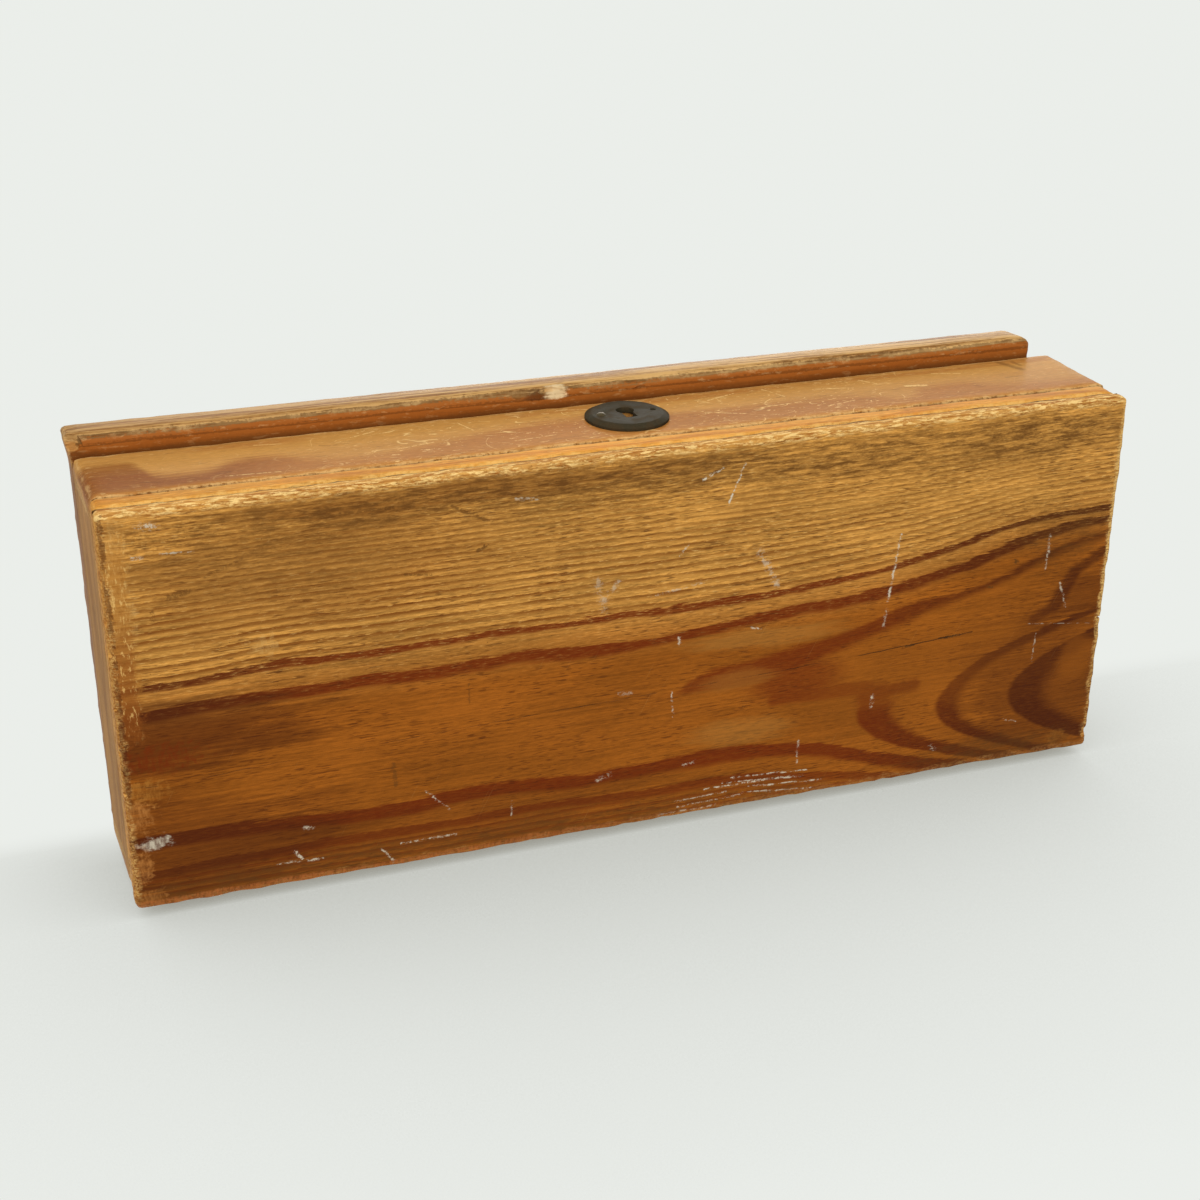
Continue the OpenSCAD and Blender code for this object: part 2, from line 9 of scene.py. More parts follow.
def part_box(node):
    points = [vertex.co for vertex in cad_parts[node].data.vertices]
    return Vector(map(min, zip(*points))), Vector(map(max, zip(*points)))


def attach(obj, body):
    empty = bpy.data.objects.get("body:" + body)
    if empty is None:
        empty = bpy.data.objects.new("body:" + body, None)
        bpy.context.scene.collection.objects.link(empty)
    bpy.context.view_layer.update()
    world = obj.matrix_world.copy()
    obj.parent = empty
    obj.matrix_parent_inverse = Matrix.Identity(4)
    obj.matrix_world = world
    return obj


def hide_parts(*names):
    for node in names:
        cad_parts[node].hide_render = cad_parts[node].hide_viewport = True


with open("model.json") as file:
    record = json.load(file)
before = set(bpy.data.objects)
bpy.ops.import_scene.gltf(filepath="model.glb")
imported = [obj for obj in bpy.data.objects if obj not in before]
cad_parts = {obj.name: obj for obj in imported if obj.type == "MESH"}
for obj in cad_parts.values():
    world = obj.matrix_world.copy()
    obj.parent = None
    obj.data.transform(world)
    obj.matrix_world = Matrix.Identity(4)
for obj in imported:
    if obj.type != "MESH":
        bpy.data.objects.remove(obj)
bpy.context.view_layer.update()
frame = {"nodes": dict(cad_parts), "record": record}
scene = bpy.context.scene
scene.view_settings.view_transform = "Standard"
mm = 0.001
print("frame loaded:", len(frame["nodes"]), "nodes")


# camera at the photo's viewing angle, and the pale stage

photoCamera = dict(
    place=(-166.3, -204.45, -413.5),  # mm, below the base board
    aim=(-9.63, 24.48, 0.0),  # mm, where the lens points on the underside
    roll=0.685,  # degrees
    lens=62.17,  # mm, as is the sensor
    sensor=36.0,
    shift=(-0.0098, 0.1190),
)

stageLook = dict(
    background=(0.83, 0.855, 0.82),
    skyColour=(1.0, 1.0, 1.0),
    skyStrength=0.5,
    filmSize=1.6,  # m
    shadowReach=0.16,  # m
    contactReach=0.014,  # m, of the darker line where the box meets the floor
    contactLight=0.45,
    shadowTint=(0.36, 0.34, 0.30),
    restPlane=0.0506,  # m, the plane that the box lies on in the photo
    standPlane=-0.0002,  # m, the plane that it stands on
    filmFade=(0.015, 0.05),  # m, above the base the lying shadow fades out
)

lamps = dict(
    overhead=dict(place=(-0.25, -1.0, -0.45), size=0.9, watts=6.5, colour=(1.0, 0.985, 0.96)),
    front=dict(place=(-0.35, -0.55, -1.1), size=0.9, watts=7.0, colour=(1.0, 0.99, 0.97)),
    lidSide=dict(place=(0.5, -0.4, 1.2), size=0.9, watts=9.0, colour=(1.0, 0.99, 0.97)),
    backSide=dict(place=(-0.4, 1.1, 0.5), size=0.9, watts=8.0, colour=(1.0, 0.99, 0.97)),
)


def addCamera():
    data = bpy.data.cameras.new("photoCamera")
    camera = bpy.data.objects.new("photoCamera", data)
    scene.collection.objects.link(camera)
    scene.camera = camera
    data.sensor_width = photoCamera["sensor"]
    data.lens = photoCamera["lens"]
    data.shift_x, data.shift_y = photoCamera["shift"]
    place = Vector(photoCamera["place"]) * mm
    forward = (Vector(photoCamera["aim"]) * mm - place).normalized()
    right = forward.cross(Vector((0, -1, 0))).normalized()  # the box lies on its back, so -Y is up
    up = right.cross(forward)
    turn = Matrix.Rotation(math.radians(-photoCamera["roll"]), 3, forward)
    axes = Matrix((turn @ right, turn @ up, -forward)).transposed()
    camera.matrix_world = Matrix.Translation(place) @ axes.to_4x4()


def addLamps():
    for name, lamp in lamps.items():
        data = bpy.data.lights.new(name, "AREA")
        data.size = lamp["size"]
        data.energy = lamp["watts"]
        data.color = lamp["colour"]
        thing = bpy.data.objects.new(name, data)
        scene.collection.objects.link(thing)
        thing.location = lamp["place"]
        thing.rotation_euler = (-thing.location).to_track_quat("-Z", "Y").to_euler()


# small helpers for building node trees

class Value:
    # a number, place or colour in a node tree, so that sums of nodes can be written as sums
    def __init__(self, tree, socket):
        self.tree = tree
        self.socket = socket

    def __add__(self, other):
        return calc("ADD", self, other)

    def __radd__(self, other):
        return calc("ADD", other, self)

    def __sub__(self, other):
        return calc("SUBTRACT", self, other)

    def __rsub__(self, other):
        return calc("SUBTRACT", other, self)

    def __mul__(self, other):
        return calc("MULTIPLY", self, other)

    def __truediv__(self, other):
        return calc("DIVIDE", self, other)

    def __abs__(self):
        return calc("ABSOLUTE", self)


class Coat:
    # a colour that other colours are laid over, each where its mask says
    def __init__(self, colour):
        self.colour = colour

    def lay(self, mask, colour, mode="MIX"):
        self.colour = colourMix(mask, self.colour, colour, mode)


def plug(socket, value):
    if isinstance(value, Value):
        value = value.socket
    if isinstance(value, bpy.types.NodeSocket):
        socket.id_data.links.new(value, socket)
    elif socket.type == "RGBA" and len(value) == 3:
        socket.default_value = (*value, 1.0)
    else:
        socket.default_value = value


def addNode(tree, kind, ins=None, **props):
    node = tree.nodes.new("ShaderNode" + kind)
    for key, value in props.items():
        setattr(node, key, value)
    for key, value in (ins or {}).items():
        plug(node.inputs[key], value)
    return node


def reading(tree, kind, output, ins=None, **props):
    return Value(tree, addNode(tree, kind, ins, **props).outputs[output])


def treeOf(*values):
    return next(value.tree for value in values if isinstance(value, Value))


def calc(operation, *values):
    return reading(treeOf(*values), "Math", 0, dict(enumerate(values)), operation=operation)


def larger(first, second):
    return calc("MAXIMUM", first, second)


def smaller(first, second):
    return calc("MINIMUM", first, second)


def vectorCalc(operation, *values):
    output = "Value" if operation in ("LENGTH", "DOT_PRODUCT", "DISTANCE") else "Vector"
    return reading(treeOf(*values), "VectorMath", output, dict(enumerate(values)), operation=operation)


def scaled(vector, factor):
    return vectorCalc("MULTIPLY", vector, factor)


def split(vector):
    node = addNode(vector.tree, "SeparateXYZ", {0: vector})
    return [Value(vector.tree, socket) for socket in node.outputs]


def joined(x, y, z):
    return reading(treeOf(x, y, z), "CombineXYZ", 0, {0: x, 1: y, 2: z})


def grey(value):
    return reading(value.tree, "CombineColor", 0, {0: value, 1: value, 2: value})


def fade(value, start, end, low=0.0, high=1.0):
    ins = {"Value": value, "From Min": start, "From Max": end, "To Min": low, "To Max": high}
    return reading(value.tree, "MapRange", 0, ins, interpolation_type="SMOOTHSTEP", clamp=False)


def nudge(value, amount):
    return (value - 0.5) * amount


def noise(vector, scale, detail=2.0, roughness=0.5, output="Fac"):
    if isinstance(scale, tuple):  # stretched, as along the grain
        vector = scaled(vector, scale)
        scale = 1.0
    ins = {"Vector": vector, "Scale": scale, "Detail": detail, "Roughness": roughness}
    return reading(vector.tree, "TexNoise", output, ins)


def colourMix(factor, first, second, mode="MIX"):
    tree = treeOf(factor, first, second)
    return reading(tree, "Mix", 2, {0: factor, 6: first, 7: second}, data_type="RGBA", blend_type=mode)


def handCurve(value, points, span, rise):
    node = addNode(value.tree, "FloatCurve", {"Value": value / span})
    curve = node.mapping.curves[0]
    spots = [(x / span, y / rise) for x, y in points]
    curve.points[0].location = spots[0]
    curve.points[1].location = spots[-1]
    for spot in spots[1:-1]:
        curve.points.new(*spot)
    for point in curve.points:
        point.handle_type = "AUTO_CLAMPED"
    node.mapping.update()
    return Value(value.tree, node.outputs[0]) * rise


def tint(red, green, blue):
    def linear(value):
        share = value / 255
        return share / 12.92 if share <= 0.04045 else ((share + 0.055) / 1.055) ** 2.4
    return (linear(red), linear(green), linear(blue))


def newMaterial(name, shine):
    material = bpy.data.materials.new(name)
    material.use_nodes = True
    tree = material.node_tree
    tree.nodes.clear()
    shader = addNode(tree, "BsdfPrincipled")
    shader.inputs["Specular IOR Level"].default_value = shine  # old dry varnish shines little
    addNode(tree, "OutputMaterial", {"Surface": shader.outputs[0]})
    return material, tree, shader


def dress(tree, shader, colour, rough, height, bump):
    relief = addNode(tree, "Bump", {"Height": height, "Strength": bump[0], "Distance": bump[1] * mm})
    for key, value in {"Base Color": colour, "Roughness": rough, "Normal": relief.outputs[0]}.items():
        plug(shader.inputs[key], value)


def placeInMillimetres(tree):
    ins = {0: reading(tree, "TexCoord", "Object"), "Scale": 1 / mm}
    return reading(tree, "VectorMath", "Vector", ins, operation="SCALE")


def newGroup(name, outs, vectors="", floats=""):
    group = bpy.data.node_groups.new(name, "ShaderNodeTree")
    rows = (("INPUT", "Vector", vectors), ("INPUT", "Float", floats), ("OUTPUT", "Float", outs))
    for way, kind, names in rows:
        for socketName in names.split():
            group.interface.new_socket(socketName, in_out=way, socket_type="NodeSocket" + kind)
    given = {socket.name: Value(group, socket) for socket in group.nodes.new("NodeGroupInput").outputs}
    return group, given, group.nodes.new("NodeGroupOutput").inputs


def useGroup(group, **ins):
    tree = treeOf(*ins.values())
    node = addNode(tree, "Group", ins, node_tree=group)
    return {socket.name: Value(tree, socket) for socket in node.outputs}


# effects that several finishes share

def makeFibreGroup():
    # streaks along X at two sizes, short pores, longer dashes, slow changes of tone and grit
    group, given, result = newGroup("pineFibre", "Streak Hair Pores Dashes Cloud Grit", "Place")
    place = given["Place"]
    sparse = noise(place, (0.05, 0.11, 0.11), 1.0)
    short = noise(place, (0.30, 3.0, 3.0), 1.0)
    pores = fade(short, 0.57, 0.66) * fade(sparse, 0.38, 0.56)
    long = noise(place, (0.11, 2.4, 2.4), 2.0, 0.6)
    plug(result["Streak"], noise(place, (0.03, 1.3, 1.3), 4.0, 0.62))
    plug(result["Hair"], noise(place, (0.42, 3.2, 3.2), 3.0, 0.66))
    plug(result["Pores"], pores)
    plug(result["Dashes"], fade(long, 0.58, 0.70))
    plug(result["Cloud"], noise(place, (0.022, 0.06, 0.06), 3.0))
    plug(result["Grit"], noise(place, 1.1, 5.0, 0.68))
    return group


def makeRingGroup():
    # one growth ring per unit of Phase: slow rise to dark latewood, then a sharp step back
    group, given, result = newGroup("pineRing", "Late", floats="Phase")
    share = calc("FRACT", given["Phase"])
    rise = fade(share, 0.30, 0.88)
    drop = fade(share, 1.0, 0.92)
    plug(result["Late"], rise * drop)
    return group


def makeEdgeGroup():
    # 1 along the edges of a box, ragged by noise, 0 past Reach from them
    group, given, result = newGroup("edgeWear", "Edge Distance", "Place Centre Half", "Reach Ragged")
    offset = vectorCalc("ABSOLUTE", vectorCalc("SUBTRACT", given["Place"], given["Centre"]))
    depth = split(vectorCalc("SUBTRACT", given["Half"], offset))
    low = smaller(depth[0], depth[1])
    high = larger(depth[0], depth[1])
    distance = larger(low, smaller(high, depth[2]))
    coarse = noise(given["Place"], 0.22, 4.0, 0.6)
    shift = nudge(coarse, given["Ragged"])
    worn = (distance + shift) / given["Reach"]
    plug(result["Edge"], fade(worn, 1.0, 0.25))
    plug(result["Distance"], distance)
    return group


def makeScuffGroup():
    # a mark along a line between two points: a core that swells with Broken, and a fringe of Specks
    group, given, result = newGroup("scuff", "Mark", "Place Start Stop", "Width Broken Specks")
    run = vectorCalc("SUBTRACT", given["Stop"], given["Start"])
    reach = vectorCalc("SUBTRACT", given["Place"], given["Start"])
    along = vectorCalc("DOT_PRODUCT", reach, run)
    share = along / vectorCalc("DOT_PRODUCT", run, run)
    share = smaller(larger(share, 0.0), 1.0)
    foot = reading(group, "VectorMath", "Vector", {0: run, "Scale": share}, operation="SCALE")
    swell = given["Width"] * larger(given["Broken"], 0.05)
    distance = vectorCalc("DISTANCE", reach, foot)
    away = distance / swell
    core = fade(away, 1.0, 0.3) * given["Broken"]
    wide = distance / (given["Width"] * 1.6)
    fringe = fade(wide, 1.0, 0.1) * given["Specks"]
    plug(result["Mark"], larger(core, fringe))
    return group


def makePatchGroup():
    # a soft oval patch
    group, given, result = newGroup("patch", "Patch", "Place Centre Radius", "Ragged")
    offset = vectorCalc("SUBTRACT", given["Place"], given["Centre"])
    away = vectorCalc("LENGTH", vectorCalc("DIVIDE", offset, given["Radius"]))
    plug(result["Patch"], fade(away + given["Ragged"], 1.15, 0.45))
    return group


fibreGroup = makeFibreGroup()
ringGroup = makeRingGroup()
edgeGroup = makeEdgeGroup()
scuffGroup = makeScuffGroup()
patchGroup = makePatchGroup()
print("shared effects built")


def patchAt(place, centre, radius, ragged):
    return useGroup(patchGroup, Place=place, Centre=centre, Radius=radius, Ragged=ragged)["Patch"]


def addWorld():
    world = bpy.data.worlds.new("paleRoom")
    scene.world = world
    world.use_nodes = True
    tree = world.node_tree
    tree.nodes.clear()
    seen = reading(tree, "LightPath", "Is Camera Ray")
    for ray in ("Is Glossy Ray", "Is Transmission Ray"):
        seen = larger(seen, reading(tree, "LightPath", ray))
    sky = addNode(tree, "Background", {"Color": stageLook["skyColour"], "Strength": stageLook["skyStrength"]})
    backdrop = addNode(tree, "Background", {"Color": stageLook["background"], "Strength": 1.0})
    mixed = addNode(tree, "MixShader", {0: seen, 1: sky.outputs[0], 2: backdrop.outputs[0]})
    addNode(tree, "OutputWorld", {"Surface": mixed.outputs[0]})


def floorFilm(name, fromBelow):
    # clear film that only darkens where the object shades it, so nothing behind it is cut off
    material = bpy.data.materials.new(name + "Film")
    material.use_nodes = True
    tree = material.node_tree
    tree.nodes.clear()
    wide, contact = (
        reading(tree, "AmbientOcclusion", "AO", {"Distance": stageLook[reach]}, samples=4)
        for reach in ("shadowReach", "contactReach")
    )
    height = split(reading(tree, "NewGeometry", "Position"))[2]
    faded = fade(height, *stageLook["filmFade"])
    lit = smaller(wide, fade(contact, 0.0, 1.0, stageLook["contactLight"], 1.0))
    lit = larger(lit, faded)
    dark = (1.0 - lit) * (1.0 - reading(tree, "NewGeometry", "Backfacing"))
    if fromBelow:
        # from above, this film is bare over the other one and seen through it below, so neither part darkens
        under = calc("LESS_THAN", height, stageLook["standPlane"])
        direct = calc("LESS_THAN", reading(tree, "LightPath", "Transparent Depth"), 0.5)
        dark *= calc("COMPARE", under, direct, 0.5)
    colour = colourMix(dark, (1.0, 1.0, 1.0), stageLook["shadowTint"])
    clear = addNode(tree, "BsdfTransparent", {"Color": colour})
    addNode(tree, "OutputMaterial", {"Surface": clear.outputs[0]})
    return material


def addFloors():
    # lying floor behind the back wall, and standing floor under the base
    spots = dict(
        lyingFloor=dict(location=(0, stageLook["restPlane"], 0), rotation=(math.pi / 2, 0, 0)),
        standingFloor=dict(location=(0, 0, stageLook["standPlane"]), rotation=(0, 0, 0)),
    )
    for name, spot in spots.items():
        bpy.ops.mesh.primitive_plane_add(size=stageLook["filmSize"], **spot)
        floor = bpy.context.object
        floor.name = name
        floor.data.materials.append(floorFilm(name, name == "lyingFloor"))
        for ray in ("diffuse", "glossy", "transmission", "shadow"):
            setattr(floor, "visible_" + ray, False)


addCamera()
addWorld()
addLamps()
addFloors()
print("camera, lamps and floors set")


# boards: a box with rounded edges, cut fine, chewed along its edges, then chipped and let in

edgeLook = dict(
    roundSteps=4,
    waveSize=45.0,  # mm
    middle=0.68,  # of the noise, high, so that the wear mostly takes wood away
    smoothAngle=40.0,  # degrees
)
chipLumps = dict(size=0.7, depth=3, strength=0.5)  # shares of a chip's own radius
rodSides = 48


def pickNone():
    bpy.ops.object.select_all(action="DESELECT")


def pickOnly(piece):
    pickNone()
    bpy.context.view_layer.objects.active = piece
    piece.select_set(True)


def settled(rotation=True):
    bpy.ops.object.transform_apply(location=True, rotation=rotation, scale=True)
    return bpy.context.object


def applyModifier(piece, kind, **props):
    modifier = piece.modifiers.new(kind.lower(), kind)
    for key, value in props.items():
        setattr(modifier, key, value)
    bpy.context.view_layer.objects.active = piece
    bpy.ops.object.modifier_apply(modifier=modifier.name)


def clouds(name, size, depth):
    texture = bpy.data.textures.new(name, "CLOUDS")
    texture.noise_scale = size
    texture.noise_depth = depth
    return texture


def addBlock(low, high):
    pickNone()
    bpy.ops.mesh.primitive_cube_add(size=1.0, location=(Vector(low) + Vector(high)) / 2)
    bpy.context.object.scale = Vector(high) - Vector(low)
    return settled(rotation=False)


def startBoard(name, node, radii):
    low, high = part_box(node)
    piece = addBlock(low, high)
    piece.name = name
    piece.data.name = name
    largest = max(max(row) for row in radii.values())
    middle = (low + high) / 2
    weights = piece.data.attributes.new("bevel_weight_edge", "FLOAT", "EDGE")
    for edge in piece.data.edges:
        first, second = (piece.data.vertices[index].co for index in edge.vertices)
        spot = (first + second) / 2 - middle
        run = second - first
        along = max(range(3), key=lambda axis: abs(run[axis]))
        across, upward = [(1, 2), (2, 0), (0, 1)][along]
        corner = {(-1, -1): 0, (1, -1): 1, (1, 1): 2, (-1, 1): 3}
        sign = (1 if spot[across] > 0 else -1, 1 if spot[upward] > 0 else -1)
        weights.data[edge.index].value = radii["xyz"[along]][corner[sign]] / largest
    steps = edgeLook["roundSteps"]
    applyModifier(piece, "BEVEL", limit_method="WEIGHT", width=largest * mm, segments=steps)
    return piece


def cutFine(piece, cuts):
    low, high = [Vector(corner) for corner in (piece.bound_box[0], piece.bound_box[6])]
    bpy.ops.object.mode_set(mode="EDIT")
    for axis, count in enumerate(cuts):
        if count < 1:
            continue
        bpy.ops.mesh.select_all(action="DESELECT")
        mesh = bmesh.from_edit_mesh(piece.data)
        for edge in mesh.edges:
            run = edge.verts[1].co - edge.verts[0].co
            straight = abs(run[axis]) > 0.999 * run.length
            edge.select_set(straight and run.length > 0.5 * (high - low)[axis])
        bmesh.update_edit_mesh(piece.data)
        bpy.ops.mesh.subdivide(number_cuts=count)
    bpy.ops.object.mode_set(mode="OBJECT")


def edgeDistance(spot, low, high):
    depths = [min(spot[axis] - low[axis], high[axis] - spot[axis]) for axis in range(3)]
    return sorted(depths)[1]


def chewEdges(piece, node, chew):
    # rough edges first, then a slow waviness over the whole board
    low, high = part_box(node)
    group = piece.vertex_groups.new(name="edges")
    for vertex in piece.data.vertices:
        away = edgeDistance(vertex.co, low, high) / (chew["reach"] * mm)
        if away < 1:
            group.add([vertex.index], (1 - away) ** 2, "REPLACE")
    for label, size, depth, strength, edgesOnly in (
        ("chew", chew["size"], 4, chew["depth"], True),
        ("nibble", chew["size"] / 4, 2, chew["depth"] * 0.5, True),
        ("wave", edgeLook["waveSize"], 1, chew["wave"], False),
    ):
        applyModifier(
            piece, "DISPLACE", texture=clouds(piece.name + label, size * mm, depth), texture_coords="LOCAL",
            mid_level=edgeLook["middle"], strength=strength * mm, vertex_group="edges" if edgesOnly else "",
        )
    piece.vertex_groups.clear()


def clamped(value):
    return min(max(value, 0.0), 1.0)


def wearEnds(piece, wear):
    # the left end runs back behind its front corner, the right end slopes back towards the top
    for vertex in piece.data.vertices:
        x, y, z = vertex.co / mm
        left = clamped((wear["leftHold"] - x) / wear["leftReach"])
        behind = clamped((y - wear["frontEdge"]) / wear["cornerReach"])
        along = clamped((y - wear["frontEdge"]) / wear["depth"])
        back = wear["corner"] + wear["behind"] * behind * behind * (3 - 2 * behind) + wear["skew"] * along
        right = clamped((x - wear["rightHold"]) / wear["rightReach"])
        slope = wear["slope"] * clamped((z - wear["foot"]) / wear["thick"])
        vertex.co.x += (left * back - right * slope) * mm


def addRod(middle, radius, length, axis, sides=rodSides):
    turns = {"x": (0, math.pi / 2, 0), "y": (math.pi / 2, 0, 0)}
    pickNone()
    bpy.ops.mesh.primitive_cylinder_add(
        vertices=sides, radius=radius, depth=length, location=middle, rotation=turns[axis]
    )
    return settled()


def addChip(chip):
    pickNone()
    bpy.ops.mesh.primitive_ico_sphere_add(subdivisions=4, radius=1.0, location=(0, 0, 0))
    cutter = bpy.context.object
    texture = clouds("chipLumps", chipLumps["size"], chipLumps["depth"])
    lumps = chip.get("lumps", chipLumps["strength"])
    applyModifier(cutter, "DISPLACE", texture=texture, texture_coords="LOCAL", strength=lumps)
    cutter.scale = Vector(chip["radius"]) * mm
    cutter.rotation_euler = [math.radians(angle) for angle in chip.get("turn", (0, 0, 0))]
    cutter.location = Vector(chip["at"]) * mm
    return settled()


def cutAway(piece, cutter):
    pickOnly(piece)
    applyModifier(piece, "BOOLEAN", operation="DIFFERENCE", solver="MANIFOLD", object=cutter)
    mesh = cutter.data
    bpy.data.objects.remove(cutter)
    bpy.data.meshes.remove(mesh)


def finishBoard(piece, node, body, material):
    pickOnly(piece)
    bpy.ops.object.shade_smooth_by_angle(angle=math.radians(edgeLook["smoothAngle"]))
    piece.data.materials.clear()
    piece.data.materials.append(material)
    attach(piece, body)
    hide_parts(node)
    print(piece.name, "built,", len(piece.data.polygons), "faces")


def boardBox(node):
    low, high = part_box(node)
    return tuple((low + high) / 2 / mm), tuple((high - low) / 2 / mm)


# base board: its worn underside is the large face of the photo.
# Places on it are (from the left end, from the back edge) in mm.
baseBoard = dict(
    radii=dict(x=(1.4, 0.5, 0.4, 0.4), y=(1.2, 0.4, 0.4, 0.7), z=(1.6, 2.2, 1.8, 2.2)),
    cuts=(170, 66, 2),
    chew=dict(reach=2.4, size=5.0, depth=1.0, wave=0.25),
    chips=[
        dict(at=(125.2, 11.2, -0.3), radius=(1.9, 0.45, 2.5), turn=(0, 0, 12)),
        dict(at=(-125.0, -24.0, 0.4), radius=(0.8, 1.6, 1.2)),
        dict(at=(-124.8, 30.6, -0.6), radius=(4.6, 1.9, 1.1), turn=(0, 8, 10)),
        dict(at=(125.4, -33.5, 0.0), radius=(0.9, 5.0, 1.2)),
        dict(at=(125.3, 6.0, 0.3), radius=(0.8, 3.2, 1.4)),
        dict(at=(124.6, 44.0, 0.0), radius=(1.2, 2.0, 1.6), turn=(0, 0, 40)),
        dict(at=(-40.0, -48.4, 0.2), radius=(6.0, 0.9, 1.0)),
        dict(at=(52.0, -48.3, -0.2), radius=(9.0, 1.0, 0.9), turn=(0, 0, 2)),
        dict(at=(-88.0, -48.3, 0.0), radius=(4.0, 0.8, 0.9)),
        dict(at=(127.4, -52.0, 2.0), radius=(3.5, 30.0, 9.0), lumps=0.06),
        dict(at=(-125.2, -3.0, 0.2), radius=(1.1, 0.5, 1.6)),
        dict(at=(-125.1, -16.0, 0.0), radius=(1.3, 0.9, 1.2)),
        dict(at=(-125.3, 8.0, 0.1), radius=(1.0, 1.2, 1.4)),
        dict(at=(-125.2, -33.0, 0.2), radius=(0.9, 0.5, 1.3)),
        dict(at=(-125.2, 18.0, 0.0), radius=(1.2, 0.8, 1.3)),
    ],
    gold=tint(196, 141, 66), goldLine=tint(124, 71, 22), amber=tint(147, 83, 22), band=tint(108, 41, 8),
    deepBand=tint(72, 30, 9), stripGold=tint(170, 113, 45), sideGold=tint(206, 152, 78),
    sideLine=tint(158, 98, 38), fleck=tint(238, 202, 130), flake=tint(224, 182, 108), worn=tint(208, 166, 98),
    pale=tint(206, 196, 172), dirt=tint(92, 57, 22), split=tint(52, 30, 14), glow=tint(132, 72, 24),
    peach=tint(186, 124, 62), ember=tint(172, 100, 48),
    shine=0.045, wornReach=2.2, wornRagged=5.0, scratchTurn=62.0, bump=(0.6, 0.25),  # strength, mm
    halfLength=125.0, backEdge=48.0, span=(250.0, 100.0),  # mm, span of the curves below
    # growth-ring bands across the board, from the left end to the right
    topBand=[(0, 54.8), (20, 55.4), (38, 56.5), (62, 56.0), (100, 56.4), (145, 56.2), (170, 57.7),
             (190, 59.6), (205, 62.4), (220, 65.6), (235, 66.9), (250, 67.5)],
    upperBand=[(0, 47.8), (20, 48.9), (50, 49.5), (70, 48.9), (92, 49.5), (112, 48.4), (130, 48.9),
               (155, 51.2), (185, 52.9), (200, 54.9), (220, 60.2), (235, 63.2), (250, 64.8)],
    tongueTop=[(0, 33.8), (128, 33.8), (140, 38.5), (152, 39.6), (162, 41.6), (172, 42.6), (182, 45.4),
               (194, 48.7), (210, 50.4), (220, 53.6), (232, 57.8), (250, 61.0)],
    tongueFoot=[(0, 33.8), (128, 33.7), (150, 33.2), (160, 34.6), (170, 37.4), (177, 39.6),
                (184, 41.4), (192, 43.6), (202, 46.6), (212, 48.9), (222, 52.0), (234, 56.2), (250, 59.4)],
    lowerBand=[(0, 16.9), (30, 16.4), (60, 14.8), (82, 16.4), (115, 14.4), (142, 15.2), (160, 13.8),
               (172, 12.0), (185, 7.7), (200, 2.7), (212, -1.5), (250, -9.0)],
    footBand=[(0, 8.8), (30, 9.1), (85, 9.4), (125, 8.1), (145, 7.8), (162, 6.2), (180, 3.5), (195, 0.4),
              (250, -12.0)],
)

